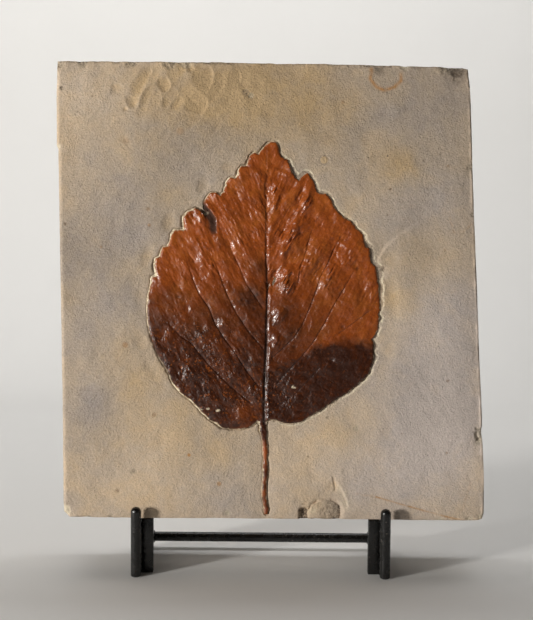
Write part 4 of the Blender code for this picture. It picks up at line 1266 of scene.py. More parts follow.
def leaf_film():
    """The glossy brown film of the leaf, rust above and chocolate below, over the cream stone of its edge."""
    made, tree, shader, where = new_material("leaf_film")
    lay = wired(tree, "ShaderNodeAttribute", {}, attribute_name="lay").outputs["Vector"]
    patches = mottled(tree, where, 11.0, 1.2)
    fine = mottled(tree, where, 2.2, 1.2)
    fibres = stroked(tree, lay, (0.85, 6.0), 1.0)
    streaks = stroked(tree, lay, (2.6, 11.0))
    mealy = placed_group(tree, GRAIN, where, Size=0.62, Speckle=0.61)
    mealy_height = mealy.outputs["Height"]

    # Rust with brown and orange streaks, then chocolate where the film is dark
    colour = mixed(tree, spread(tree, patches, 0.35, 0.95), FILM_RUST, FILM_ORANGE)
    for value, low, high, most, paint in (
        (streaks, 0.56, 0.34, 0.42, FILM_BROWN),
        (fine, 0.60, 0.0, 0.36, FILM_BROWN),
        (fibres, 0.48, 0.28, 0.18, FILM_BROWN),
        (mealy_height, 0.50, 0.34, 0.30, FILM_BROWN),
        (mealy_height, 0.54, 0.70, 0.25, FILM_ORANGE),
    ):
        colour = mixed(tree, spread(tree, value, low, high, 0.0, most), colour, paint)
    dark = share_of(tree, "chocolate")
    for value, amount in ((fine, 0.22), (streaks, 0.45), (patches, 0.25)):
        dark = swayed(tree, dark, value, amount)
    pebbled = share_of(tree, "pebbled")
    amber = maths(tree, "MULTIPLY_ADD", pebbled, 0.34, 0.08)
    amber = maths(tree, "MULTIPLY", mealy.outputs["Speckles"], amber)
    dull_and_shade = share_of(tree, "dull_and_shade")
    bare = share_of(tree, "bare")
    stone = mixed(tree, spread(tree, fine, 0.30, 0.72), EDGE_CREAM, EDGE_TAN)
    # Chocolate, amber specks, black of the veins with painted shade in pits, tears and the notch, dull brown
    # that is partly painted shade, and bare stone
    for share, paint in (
        (dark, FILM_CHOCOLATE),
        (amber, FILM_ORANGE),
        (maths(tree, "MULTIPLY", share_of(tree, "vein_and_shade"), 0.60), FILM_BLACK),
        (maths(tree, "MULTIPLY", dull_and_shade, 0.85), FILM_DULL_SHADE),
        (bare, stone),
    ):
        colour = mixed(tree, share, colour, paint)
    tree.links.new(colour, shader.inputs["Base Color"])

    # Varnish, missing where the stone is bare
    gloss = spread(tree, patches, 0.1, 0.9, 0.29, 0.37)
    matt = maths(tree, "MAXIMUM", bare, dull_and_shade)
    coat = maths(tree, "MULTIPLY_ADD", matt, -0.24, 0.24, clamp=True)
    tree.links.new(mixed(tree, matt, gloss, (0.85, 0.85, 0.85)), shader.inputs["Roughness"])
    tree.links.new(coat, shader.inputs["Coat Weight"])
    shader.inputs["Coat Roughness"].default_value = 0.14
    shader.inputs["Specular IOR Level"].default_value = 0.37

    # Fibres, fine dimples, pebbles and meal
    sparse = spread(tree, noise_of(tree, where, 210.0, 1.0), 0.46, 0.62, 0.15, 1.0)
    sparse = maths(tree, "MULTIPLY", sparse, pebbled)
    pebbles = maths(tree, "MULTIPLY", noise_of(tree, where, 1150.0, 1.0), sparse)
    bump_before = None
    for height, strength, deep in (
        (fibres, 0.55, 0.00022),
        (noise_of(tree, where, 760.0, 1.5), 0.60, 0.00034),
        (pebbles, 1.0, 0.00045),
        (mealy_height, 0.20, 0.00015),
    ):
        bump_before = bumped(tree, shader, height, strength, deep, bump_before)
    return made


# Colours of the stand's paint and of the bare specks in it
IRON_DARK = (0.003, 0.003, 0.0027)
IRON_LIGHT = (0.007, 0.0066, 0.006)
IRON_BARE = (0.120, 0.105, 0.090)


def black_iron():
    """Satin black paint on welded rod: faint dimples, worn bare in specks."""
    made, tree, shader, where = new_material("black_iron")
    patches = mottled(tree, where, 6.0)
    grain = placed_group(tree, GRAIN, where, Size=0.7, Speckle=0.69)
    colour = mixed(tree, patches, IRON_DARK, IRON_LIGHT)
    colour = mixed(tree, maths(tree, "MULTIPLY", grain.outputs["Speckles"], 0.8), colour, IRON_BARE)
    tree.links.new(colour, shader.inputs["Base Color"])
    tree.links.new(spread(tree, patches, 0.0, 1.0, 0.20, 0.32), shader.inputs["Roughness"])
    shader.inputs["Specular IOR Level"].default_value = 0.55
    first = bumped(tree, shader, patches, 0.35, 0.0004)
    bumped(tree, shader, grain.outputs["Height"], 0.35, 0.00018, first)
    return made


STONE = matrix_stone()
FILM = leaf_film()
IRON = black_iron()


# The slab


def ragged_outline():
    """The slab's outline at a fine spacing, with small bites out of its edges."""
    line = spaced(slab_loop, EDGE_NET)
    steps = in_trace(line)
    bite = 0.10 + 0.10 * hills(line, 11 * MM, 71) + 0.05 * hills(line, 2.6 * MM, 72)
    bite += ramp(steps[:, 1], 72, -6) * 0.22 * np.maximum(0, hills(line, 3.4 * MM, 73))
    bite += places(steps, BITES)
    bite += places(steps, CORNER_BITE)
    return line - outward(line, slab_loop) * np.clip(bite, 0, 1.6)[:, None] * MM


def back_depth(points):
    """How far back the slab's split rear face lies, in metres."""
    t = SLAB_THICK + 0.0010 * np.sin(points[:, 0] * 62.0 + 1.0) * np.sin(points[:, 1] * 55.0)
    for x, v, radius, rise in BACK_SWELLS:
        t = t + rise * bump(points, (x, v), radius)
    split = np.floor(3.0 * hills(points, 46 * MM, 81) + 1.2 * hills(points, 11 * MM, 82))
    t += 0.0007 * split + 0.0007 * rough(points, 9 * MM, 83, 4)
    for x in (LEFT_X, RIGHT_X):
        blend = bump(points, (x, 0.012), 0.030)
        t = t * (1.0 - blend) + CONTACT_THICK * blend
    return np.minimum(t, CONTACT_THICK)


def face_grid(outline, rim, toe):
    """The loose points of the face's net: finer at marks, along the right edge and round the leaf."""
    low = slab_loop.min(axis=0)
    high = slab_loop.max(axis=0)
    coarse = lattice(low, high, FACE_NET, 3)
    fine = lattice(*trace(GOUGE_BOX), GOUGE_NET, 4)
    left, bottom = fine.min(axis=0)
    in_box = (coarse[:, 0] > left) & (coarse[:, 0] < fine[:, 0].max()) & (coarse[:, 1] > bottom)
    grid = np.vstack([coarse[~in_box], fine])
    for x, y, radius, net in FINE_PLACES + [(s[0], s[1], 2.0 * s[2], 0.34) for s in SPOTS]:
        centre = np.array(on_face(x, y))
        reach = radius * TRACE_STEP
        local = lattice(centre - reach, centre + reach, net * MM, 7)
        local = local[np.linalg.norm(local - centre, axis=1) < reach]
        grid = np.vstack([grid[np.linalg.norm(grid - centre, axis=1) >= reach], local])

    # Along the right edge
    lower = np.array([on_face(*EDGE_BOX_LEFT)[0], low[1]])
    upper = np.array([on_face(*EDGE_BOX_RIGHT)[0], high[1]])
    strip = lattice(lower, upper, GROOVE_NET, 10)
    strip = strip[inside(strip, slab_loop) & (distance(strip, slab_loop) < STRIP_WIDE)]
    close = (grid[:, 0] > strip[:, 0].min()) & (distance(grid, slab_loop) < STRIP_WIDE)
    grid = np.vstack([grid[~close], strip])

    # Round the leaf
    band = lattice(leaf_loop.min(axis=0) - 4 * MM, leaf_loop.max(axis=0) + 4 * MM, GROOVE_NET, 9)
    band = band[(distance(band, leaf_loop) < BAND_WIDE) & ~inside(band, leaf_loop)]
    grid = np.vstack([grid[(distance(grid, leaf_loop) >= BAND_WIDE) | inside(grid, leaf_loop)], band])
    grid = grid[inside(grid, slab_loop)]
    grid = grid[distance(grid, outline) > 0.55 * EDGE_NET]

    # Only a sparse net under the leaf
    grid = grid[~(inside(grid, leaf_loop) & (distance(grid, leaf_loop) > 3 * MM))]
    grid = grid[np.minimum(distance(grid, rim), distance(grid, toe)) > 0.32 * MM]
    sparse = lattice(low, high, 5 * MM, 5)
    sparse = sparse[inside(sparse, leaf_loop) & (distance(sparse, leaf_loop) > 4 * MM)]
    return np.vstack([grid, sparse])


def side_rows(ring, front_n, back_n):
    """Rows of points down the sides, from the worn front arris to the split back."""
    normal = outward(ring, slab_loop)
    for k in range(1, SIDE_ROWS + 1):
        t = k / SIDE_ROWS
        side = np.c_[ring, front_n + (back_n - front_n) * t]
        bite = 0.70 * MM * (rough(side, 16 * MM, 91, 4) - 0.5)
        bite -= 0.55 * MM * (1 - eased(np.abs(hills(side, 13 * MM, 92)) / 0.22))
        bite = np.minimum(bite, 0.15 * MM) * eased(t * 5)
        bite -= 2.2 * MM * ramp(t, 0.86, 0.14) ** 2 * (0.8 + 0.5 * hills(side, 8 * MM, 93))
        yield t, side, ring + normal * bite[:, None]


def build_slab():
    """The slab as one closed mesh: the worked face, rows down the sides, and the split back."""
    outline = ragged_outline()
    rim = grown(leaf_loop, moat_width, 0.75 * MM)
    toe = grown(leaf_loop, lambda p: moat_width(p) - wall_run(p), 0.75 * MM)
    flat, faces = triangles([outline, rim, toe], face_grid(outline, rim, toe))
    heights, shares = front_relief(flat)
    heights = heights * MM
    all_points = [placed(flat, heights)]
    all_shares = {key: [value] for key, value in shares.items()}
    total = len(flat)

    rim_ids = ordered(rim_edges(faces))
    ring = flat[rim_ids]
    count = len(ring)
    rows = [rim_ids]
    for t, side, moved in side_rows(ring, heights[rim_ids], BACK_LAP - back_depth(ring)):
        all_points.append(placed(moved, side[:, 2]))
        side_shares(all_shares, side, t)
        rows.append(np.arange(total, total + count))
        total += count
    faces = faces.tolist()
    for a, b in zip(rows[:-1], rows[1:]):
        faces.extend(zip(a, np.roll(a, -1), np.roll(b, -1), b))

    # The split back
    grid = lattice(slab_loop.min(axis=0), slab_loop.max(axis=0), BACK_NET, 6)
    grid = grid[inside(grid, moved) & (distance(grid, moved) > 0.6 * BACK_NET)]
    back_flat, back_faces = triangles([moved], grid)
    back = np.c_[back_flat, -back_depth(back_flat)][count:]
    ids = np.concatenate([rows[-1], total + np.arange(len(back))])
    all_points.append(placed(back[:, :2], back[:, 2]))
    side_shares(all_shares, back, 1.0)
    faces.extend([tuple(ids[i] for i in f) for f in back_faces.tolist()])
    shares = {key: np.concatenate(value) for key, value in all_shares.items()}
    slab = solid("stone_slab", np.vstack(all_points), faces, STONE, shares)
    slab.data.set_sharp_from_angle(angle=math.radians(55))
    return slab


def side_shares(shares, points, t):
    """Colour shares of the sides and back, which are rough and browner than the face."""
    none = np.zeros(len(points))
    shares["warmth"].append(0.15 + 0.5 * hills(points, 30 * MM, 94))
    shares["paleness_and_painted_light"].append(-0.06 + 0.10 * hills(points, 17 * MM, 95))
    shares["cream"].append(none)
    shares["stroked"].append(none)
    shares["soil_and_shade"].append(np.clip(0.5 * rough(points, 12 * MM, 96, 3) - 0.35, 0, 0.4))
    shares["ochre"].append(np.clip(hills(points, 25 * MM, 97) - 0.55, 0, 0.5) * eased(t * 2))
    shares["broken"].append((none + 0.55) * eased(t * 4))


def ordered(edges):
    """The points of one loop of edges in running order, starting anywhere."""
    after = dict(edges)
    start = edges[0][0]
    line = [start]
    while after[line[-1]] != start:
        line.append(after[line[-1]])
    return np.array(line)


# The leaf


def leaf_veins(points):
    """Distance to the nearest of the side veins in millimetres, the height of their grooves, and how dark
    they are painted: a dark line along each groove, set a little towards its left wall, partly the veins' own
    colour and partly painted shade on the wall that faces away from the lamp.
    """
    nearest = np.full(len(points), 50.0)
    grooves = np.zeros(len(points))
    dark = np.zeros(len(points))
    for depth, line in SIDE_VEINS:
        off, side, along = beside(points, trace(line))
        off = off / MM
        nearest = np.minimum(nearest, off)
        fade = eased(along / 0.04) * eased((1 - along) / 0.25)
        grooves = np.minimum(grooves, -depth * fade * bell(off, np.where(side > 0, 0.58, 0.30)))
        # Dark line set towards the left wall: partly the veins' own colour, partly painted shade
        dark = np.maximum(dark, fade * bell(off + 0.1 * side, 0.26) * depth / 0.34)
    return nearest, grooves, dark


def midrib_height(points, y, midrib, side):
    """The midrib's deep groove with a steep left wall and a raised right bank."""
    deep = 0.28 + 0.36 * ramp(y, 215, 70)
    deep *= ramp(y, 150, 30)
    groove = deep * bell(midrib, np.where(side < 0, 0.62, 1.15)) * (1 + 0.20 * hills(points, 2.4 * MM, 111))
    on_right = np.where(side > 0, 1.0, 0.0)
    bank = 0.14 * bell(midrib - 1.6, 0.7) * on_right * ramp(y, 200, 60) * ramp(y, 424, -20)
    rise = np.clip((midrib - 0.4) / 1.7, 0, 1) * bell(np.maximum(midrib - 2.1, 0), 1.3) * on_right
    low_down = ramp(y, 325, 30) * ramp(y, 426, -10)
    return bank - groove + low_down * (0.36 * rise + 0.24 * rise * rough(points, 1.1 * MM, 128, 2))


def leaf_tears(points, h):
    """The leaf with the torn fold in its upper left, how deep it is gone, and the share along the tear."""
    tear, side, along = beside(points, trace(TEAR))
    tear = tear / MM
    deep = np.interp(along, np.linspace(0, 1, len(TEAR)), [p[2] for p in TEAR])
    gone = deep * bell(tear, np.where(side < 0, 0.9, 2.4)) * eased((1 - along) / 0.2 + 0.2)
    h = h - gone + 0.16 * bell(tear - 1.7, 0.9) * (side < 0) * deep
    second, _, second_along = beside(points, trace(SECOND_TEAR))
    return h - 0.25 * bell(second, 0.6 * MM) * eased((1 - second_along) / 0.3), gone, along


def leaf_dark(points, steps, on_left, on_stalk):
    """How far the film has turned from rust to chocolate."""
    x, y = steps.T
    wobble = 5 * rough(points, 7 * MM, 109, 3)
    down_left = ramp(y + 2 * wobble, np.interp(x, *zip(*CHOCOLATE_LEFT)) - 54, 108)
    crisp = 17 + 22 * ramp(x, 330, -60)
    down_right = ramp(y + wobble + 0.3 * crisp, np.interp(x, *zip(*CHOCOLATE_RIGHT)), crisp)
    down_right = np.maximum(down_right, 0.74 * ramp(x, 345, -60) * ramp(y + 2 * wobble, 254, 75))
    dark = np.where(on_left, 0.88 * down_left + places(steps, DARK_OUTER_LEFT), down_right)
    dark += places(steps, DARK_BASE + DARK_PLACES + DARK_SPOTS)
    stalk = 0.52 + 0.45 * hills(points, 3.4 * MM, 127) + 0.4 * ramp(y, 442, -10) + places(steps, DARK_STALK)
    return dark * (1 - on_stalk) + on_stalk * stalk


def leaf_relief(points):
    """Height of the leaf and its sloping edge in millimetres, its colour shares, and its fibres' lay."""
    steps = in_trace(points)
    x, y = steps.T
    within = inside(points, leaf_loop)
    from_edge = distance(points, leaf_loop) / MM
    signed = np.where(within, from_edge, -from_edge)
    frayed = 0.17 * hills(points, 1.6 * MM, 116) + 0.11 * hills(points, 0.8 * MM, 117)
    signed += frayed * np.clip(1 + signed * MM / skirt_run(points), 0, 1)
    within = signed > 0
    on_stalk = ramp(y, 423, 5)
    off_stalk = 1 - on_stalk
    on_left = x < 267
    midrib, mid_side, _ = beside(points, trace(MIDRIB))
    midrib = midrib / MM
    veins, grooves, vein_mask = leaf_veins(points)

    h = LEAF_TOP + 0.34 * (1.0 - bell(np.minimum(veins, midrib), 3.4))
    smoother = 1 - places(steps, SMOOTH_PLACES)
    waves = 0.34 * hills(points, 9 * MM, 101) + 0.28 * hills(points, 4.4 * MM, 102)
    h += smoother * (waves + 0.13 * hills(points, 2.1 * MM, 103))
    h += 1.25 * grooves + midrib_height(points, y, midrib, mid_side)

    # Crinkles along the lay of the side veins, strongest in the upper middle
    off_middle = np.abs(points[:, 0] - on_face(267, 300)[0])
    tilt = math.radians(29)
    across = off_middle * math.cos(tilt) - points[:, 1] * math.sin(tilt)
    along = off_middle * math.sin(tilt) + points[:, 1] * math.cos(tilt)
    half = np.where(on_left, 0.4, 0.0)
    lay = np.c_[across + half, along]
    crinkled = np.clip(places(steps, CRINKLED_PLACES), 0, 1)
    h += (0.11 * smoother + 0.15 * crinkled) * rough(lay / (2.2, 7.5), MM, 104, 3) * off_stalk
    ribs = rough(lay / (0.9, 4.0), MM, 105, 2)
    h += (0.022 + 0.05 * crinkled) * ribs
    h -= 0.15 * bell(rough(lay / (2.6, 4.6), MM, 115, 2), 0.12) * off_stalk
    pebbles = np.clip(places(steps, PEBBLED_PLACES), 0, 1)
    h += 0.035 * pebbles * rough(points, 1.5 * MM, 106, 2)

    # Leaning folds, raised spots that catch the light, pits and tears
    for fold_x, fold_y, half_width, half_length, lean, high in LEAF_FOLDS:
        centre = np.array(on_face(fold_x, fold_y))
        local = turned(points - centre, lean, half_width * TRACE_STEP, half_length * TRACE_STEP)
        t = np.abs(local[:, 0])
        slope = np.sign(local[:, 0]) * np.where(t < 1, t, 1 - ramp(t, 1, 2.4)) * np.exp(-(local[:, 1] ** 4))
        h += high * slope * (1 + 0.5 * ribs)
    h += 0.24 * places(steps, RAISED_SPOTS)
    for pit_x, pit_y, radius, depth in LEAF_PITS:
        h -= depth * places(steps, [(pit_x, pit_y, radius, 1.0)])
    h, gone, tear_along = leaf_tears(points, h)

    # The stalk lies a little lower and round-backed, and the margin rolls over to the sloping edge
    stalk = -0.75 + 0.42 * np.sqrt(np.clip(from_edge / 0.9, 0, 1)) + 0.16 * hills(points, 2.2 * MM, 107)
    h = h * off_stalk + (stalk + 0.10 * hills(points, 1.0 * MM, 126)) * on_stalk
    h -= 0.30 * np.exp(-from_edge / 0.55) * off_stalk * within
    fall = np.clip(-signed * MM / skirt_run(points), 0, 1)
    edge_top = LEAF_TOP - 0.30
    skirt = edge_top + (-SKIRT_DEEP - edge_top) * fall**0.9
    h = np.where(within, h, skirt + 0.10 * hills(points, 1.2 * MM, 108) * np.sin(math.pi * fall))
    h = np.minimum(h, 1.9 + 0.2 * h)

    # Dark veins, midrib, tears and pits: partly their own dark colour, partly painted shade on walls that
    # face away from the lamp and in hollows
    rib_width = 0.40 + 0.45 * ramp(y, 325, 25)
    # The midrib's dark line, set towards its left wall: partly its own dark, partly painted shade on the wall
    # that faces away from the lamp
    rib_dark_and_shade = bell(midrib + 0.35 * np.where(mid_side < 0, -1, 1), rib_width) * ramp(y, 160, 60) * off_stalk
    torn = np.clip(3.2 * gone - 0.2, 0, 1) * eased((1 - tear_along) / 0.25)
    vein_and_shade = np.maximum(np.maximum(vein_mask, rib_dark_and_shade), 0.75 * torn)
    vein_and_shade = vein_and_shade + 0.28 * places(steps, DARK_VEINED) * (1 - vein_and_shade)
    # Dull dark brown in the tear and along the midrib's groove: partly their own colour, partly painted shade
    dull_and_shade = np.maximum(torn, 0.7 * bell(midrib, 0.5) * ramp(y, 240, 60) * off_stalk)
    for pit_x, pit_y, radius, _ in LEAF_PITS:
        vein_and_shade = np.maximum(vein_and_shade, places(steps, [(pit_x, pit_y, radius * 0.8, 0.9)]))

    # Bare stone along the sloping edge and in specks, taken away by painted shade at the notch and the shaded
    # left margin
    uneven = 0.20 * hills(points, 1.4 * MM, 110) + 0.16 * hills(points, 4.5 * MM, 114)
    bare = eased((-signed + 0.02 + uneven) / 0.30)
    notch = places(steps, NOTCH_SHADE) + 0.55 * places(steps, SHADED_MARGIN)
    bare = bare * (1 - np.clip(1.5 * notch, 0, 1))
    vein_and_shade = np.maximum(vein_and_shade, np.minimum(notch, 1) * (1 - within))
    for speck_x, speck_y, radius, pale in LEAF_SPECKS:
        off = np.linalg.norm((steps - np.array([speck_x, speck_y])) * [0.8, 1.15], axis=1) / radius
        off += 0.55 * hills(points, 0.9 * MM, 113)
        bare = np.maximum(bare, pale * eased(2.2 * (1.15 - off)))
    shares = {
        "chocolate": np.clip(leaf_dark(points, steps, on_left, on_stalk), 0, 1),
        "vein_and_shade": vein_and_shade,
        "bare": bare,
        "dull_and_shade": dull_and_shade,
        "pebbled": 0.8 * pebbles * off_stalk + 0.10,
    }
    return h, shares, np.c_[across, along, half]


def vein_rows(line, offsets):
    """Rows of points along one of the veins, so that its groove keeps crisp walls."""
    middle = spaced(trace(line), 0.42 * MM, closed=False)
    ahead = np.gradient(middle, axis=0)
    across = np.c_[-ahead[:, 1], ahead[:, 0]] / np.linalg.norm(ahead, axis=1)[:, None]
    return [middle + across * offset * MM for offset in offsets]


def build_leaf():
    """The leaf as one closed mesh, with its sloping edge, short walls and a flat underside."""
    margin = spaced(leaf_loop, 0.55 * MM)
    skirt = grown(leaf_loop, skirt_run, 0.6 * MM)
    grid = lattice(skirt.min(axis=0), skirt.max(axis=0), LEAF_NET, 8)
    near = distance(grid, trace(MIDRIB), closed=False) < 1.45 * MM
    rows = vein_rows(MIDRIB, np.linspace(-1.25, 1.25, 9))
    for _, line in SIDE_VEINS:
        near |= distance(grid, trace(line), closed=False) < 0.72 * MM
        rows += vein_rows(line, (-0.52, -0.26, 0.0, 0.26, 0.52))
    grid = np.vstack([grid[~near], *rows])
    grid = grid[inside(grid, skirt)]
    grid = grid[np.minimum(distance(grid, leaf_loop), distance(grid, skirt)) > 0.26 * MM]
    flat, faces = triangles([margin, skirt], grid)
    heights, shares, lay = leaf_relief(flat)
    points = placed(flat, heights * MM)
    rim_ids = ordered(rim_edges(faces))
    under = placed(flat[rim_ids], np.full(len(rim_ids), LEAF_UNDERSIDE - 0.05 * MM))
    start = len(points)
    count = len(rim_ids)
    body = faces.tolist()
    low = np.arange(start, start + count)
    body.extend(zip(rim_ids, np.roll(rim_ids, -1), np.roll(low, -1), low))
    _, under_faces = triangles([flat[rim_ids]], [])
    body.extend([tuple(start + i for i in f) for f in under_faces.tolist()])
    for key in shares:
        shares[key] = np.concatenate([shares[key], shares[key][rim_ids]])
    leaf = solid("leaf_fossil", np.vstack([points, under]), body, FILM, shares)
    layer = leaf.data.attributes.new("lay", "FLOAT_VECTOR", "POINT")
    layer.data.foreach_set("vector", np.vstack([lay, lay[rim_ids]]).astype(np.float32).ravel())
    leaf.data.set_sharp_from_angle(angle=math.radians(60))
    return leaf


# The stand


PAINT_INPUT = ("Paint", "NodeSocketMaterial", None)


def node_tree(name, sizes):
    """A Geometry Nodes tree with a geometry socket and named size inputs."""
    tree = bpy.data.node_groups.new(name, "GeometryNodeTree")
    for label, kind, value in [("Geometry", "NodeSocketGeometry", None), *sizes]:
        socket = tree.interface.new_socket(name=label, in_out="INPUT", socket_type=kind)
        if value is not None:
            socket.default_value = value
    tree.interface.new_socket(name="Geometry", in_out="OUTPUT", socket_type="NodeSocketGeometry")
    return tree, tree.nodes.new("NodeGroupInput"), tree.nodes.new("NodeGroupOutput")


def swept_rod_tree():
    """A round rod along an edge path, with its first end and its last end rounded over."""
    tree, given, result = node_tree(
        "Rod along a path",
        [
            ("Radius", "NodeSocketFloat", ROD_R), ("Sides", "NodeSocketInt", 28),
            ("Step", "NodeSocketFloat", 0.5 * MM), ("Start Round", "NodeSocketFloat", 0.5 * MM),
            ("End Round", "NodeSocketFloat", 0.5 * MM), ("Ripple", "NodeSocketFloat", 0.02), PAINT_INPUT,
        ],
    )
    sizes = given.outputs
    curve = wired(tree, "GeometryNodeMeshToCurve", {"Mesh": sizes["Geometry"]}).outputs[0]
    even = wired(tree, "GeometryNodeResampleCurve", {"Curve": curve, "Length": sizes["Step"]}, mode="LENGTH")
    along = tree.nodes.new("GeometryNodeSplineParameter").outputs["Length"]
    whole = tree.nodes.new("GeometryNodeSplineLength").outputs["Length"]

    def rounding(from_end, reach):
        """1 along the rod, falling to nearly 0 at an end as a quarter circle does."""
        share = maths(tree, "DIVIDE", from_end, reach, clamp=True)
        back = maths(tree, "SUBTRACT", 1.0, share)
        inner = maths(tree, "SUBTRACT", 1.0, maths(tree, "MULTIPLY", back, back))
        drop = maths(tree, "SUBTRACT", 1.0, maths(tree, "SQRT", inner))
        part = maths(tree, "DIVIDE", reach, sizes["Radius"])
        return maths(tree, "SUBTRACT", 1.0, maths(tree, "MULTIPLY", drop, part))

    first = rounding(along, sizes["Start Round"])
    last = rounding(maths(tree, "SUBTRACT", whole, along), sizes["End Round"])
    ends = maths(tree, "MAXIMUM", maths(tree, "MULTIPLY", first, last), 0.02)
    wave = noise_of(tree, tree.nodes.new("GeometryNodeInputPosition").outputs[0], 160.0, 1.0)
    uneven = maths(tree, "MULTIPLY_ADD", maths(tree, "SUBTRACT", wave, 0.5), sizes["Ripple"], 1.0)
    circle = {"Resolution": sizes["Sides"], "Radius": sizes["Radius"]}
    body = {
        "Curve": even.outputs[0],
        "Profile Curve": wired(tree, "GeometryNodeCurvePrimitiveCircle", circle).outputs[0],
        "Scale": maths(tree, "MULTIPLY", ends, uneven),
        "Fill Caps": True,
    }
    finish_tree(tree, wired(tree, "GeometryNodeCurveToMesh", body).outputs[0], given, result)
    return tree


def finish_tree(tree, geometry, given, result):
    real = wired(tree, "GeometryNodeRealizeInstances", {0: geometry}).outputs[0]
    painted = wired(tree, "GeometryNodeSetMaterial", {"Geometry": real, "Material": given.outputs["Paint"]})
    tree.links.new(painted.outputs[0], result.inputs[0])


def weld_tree():
    """A weld seam: overlapping round drops laid one after another along an edge path."""
    tree, given, result = node_tree(
        "Weld bead along a path",
        [
            ("Drop", "NodeSocketFloat", 1.3 * MM), ("Spacing", "NodeSocketFloat", 0.8 * MM),
            ("Unevenness", "NodeSocketFloat", 0.22), ("Seed", "NodeSocketInt", 5), PAINT_INPUT,
        ],
    )
    sizes = given.outputs
    curve = wired(tree, "GeometryNodeMeshToCurve", {"Mesh": sizes["Geometry"]}).outputs[0]
    steps = {"Curve": curve, "Length": sizes["Spacing"]}
    points = wired(tree, "GeometryNodeCurveToPoints", steps, mode="LENGTH")
    drop = wired(tree, "GeometryNodeMeshIcoSphere", {"Subdivisions": 2, "Radius": sizes["Drop"]})
    chance = {
        2: maths(tree, "SUBTRACT", 1.0, sizes["Unevenness"]),
        3: maths(tree, "ADD", 1.0, sizes["Unevenness"]),
        "Seed": sizes["Seed"],
    }
    drops = {
        "Points": points.outputs["Points"],
        "Rotation": points.outputs["Rotation"],
        "Instance": drop.outputs["Mesh"],
        "Scale": wired(tree, "FunctionNodeRandomValue", chance, data_type="FLOAT").outputs[1],
    }
    laid = wired(tree, "GeometryNodeInstanceOnPoints", drops).outputs[0]
    smooth = wired(tree, "GeometryNodeSetShadeSmooth", {"Geometry": laid}).outputs[0]
    finish_tree(tree, smooth, given, result)
    return tree


ROD_TREE = swept_rod_tree()
WELD_TREE = weld_tree()


def grown_mesh(name, paths, tree, **values):
    """Runs a tree on edge paths and returns the plain mesh's points and faces."""
    points = [tuple(p) for path in paths for p in path]
    edges = []
    start = 0
    for path in paths:
        edges.extend((start + i, start + i + 1) for i in range(len(path) - 1))
        start += len(path)
    base = bpy.data.meshes.new(name + "_path")
    base.from_pydata(points, edges, [])
    carrier = linked(name + "_path", base)
    modifier = carrier.modifiers.new("Tree", "NODES")
    modifier.node_group = tree
    for item in tree.interface.items_tree:
        label = item.name.replace(" ", "_")
        if item.in_out == "INPUT" and label in values:
            modifier[item.identifier] = values[label]
    bpy.context.view_layer.update()
    shown = carrier.evaluated_get(bpy.context.evaluated_depsgraph_get())
    mesh = bpy.data.meshes.new_from_object(shown)
    mesh.name = name
    carrier.modifiers.clear()
    bpy.data.objects.remove(carrier)
    return mesh


def straight(a, b, parts=2):
    return [Vector(a).lerp(Vector(b), k / parts) for k in range(parts + 1)]


def beads(paths, seed, drop=SEAM_DROP, spacing=SEAM_SPACING):
    return grown_mesh("bead", paths, WELD_TREE, Drop=drop, Spacing=spacing, Seed=seed, Paint=IRON)


def rod_mesh(name, a, b, start_round, end_round, level_foot=False):
    ends = {"Start_Round": start_round, "End_Round": end_round}
    mesh = grown_mesh(name, [straight(a, b)], ROD_TREE, Paint=IRON, **ends)
    if level_foot:
        for vertex in mesh.vertices:
            vertex.co.z = max(vertex.co.z, 0.0)
    return mesh


def stand_piece(name, meshes):
    """Joins plain meshes into one piece of the stand."""
    work = bmesh.new()
    for mesh in meshes:
        work.from_mesh(mesh)
    joined = bpy.data.meshes.new(name)
    work.to_mesh(joined)
    work.free()
    joined.materials.clear()
    joined.materials.append(IRON)
    joined.polygons.foreach_set("use_smooth", np.ones(len(joined.polygons), bool))
    joined.set_sharp_from_angle(angle=math.radians(50))
    return linked(name, joined)


def weld_ring(centre, radius, parts=20):
    """A closed ring path round a crossbar, at the face of the post that it meets."""
    along = Vector((1, 0, 0))
    u = along.cross(Vector((0, 0, 1)))
    w = along.cross(u)
    turns = [2 * math.pi * k / parts for k in range(parts + 1)]
    return [Vector(centre) + (u * math.cos(t) + w * math.sin(t)) * radius for t in turns]


def upright_mesh(middle, wide, profile):
    """A flat bar or plate on edge with the same four-cornered profile all across and filed edges."""
    work = bmesh.new()
    left = [work.verts.new((middle - 0.5 * wide, y, z)) for y, z in profile]
    right = [work.verts.new((middle + 0.5 * wide, y, z)) for y, z in profile]
    work.faces.new(left)
    work.faces.new(right[::-1])
    for i in range(4):
        j = (i + 1) % 4
        work.faces.new((left[i], right[i], right[j], left[j]))
    bmesh.ops.recalc_face_normals(work, faces=work.faces)
    bmesh.ops.bevel(work, geom=work.edges[:], offset=0.45 * MM, segments=3, profile=0.5, affect="EDGES")
    bmesh.ops.triangulate(work, faces=[f for f in work.faces if len(f.verts) > 4])
    mesh = bpy.data.meshes.new("bar")
    work.to_mesh(mesh)
    work.free()
    return mesh


def leg_mesh(x, inward):
    """The flat bar on the inner face of a side plate, up to the slab's front edge."""
    middle = x + inward * (0.5 * PLATE_THICK + JOINT_GAP + 0.5 * LEG_WIDE)
    centre, front, front_top = in_space(middle, SLAB_BOTTOM - JOINT_GAP, LEG_FRONT_N)
    _, rear, rear_top = in_space(middle, SLAB_BOTTOM - JOINT_GAP, LEG_FRONT_N - LEG_DEEP)
    return upright_mesh(centre, LEG_WIDE, [(front, 0.0), (rear, 0.0), (rear, rear_top), (front, front_top)])


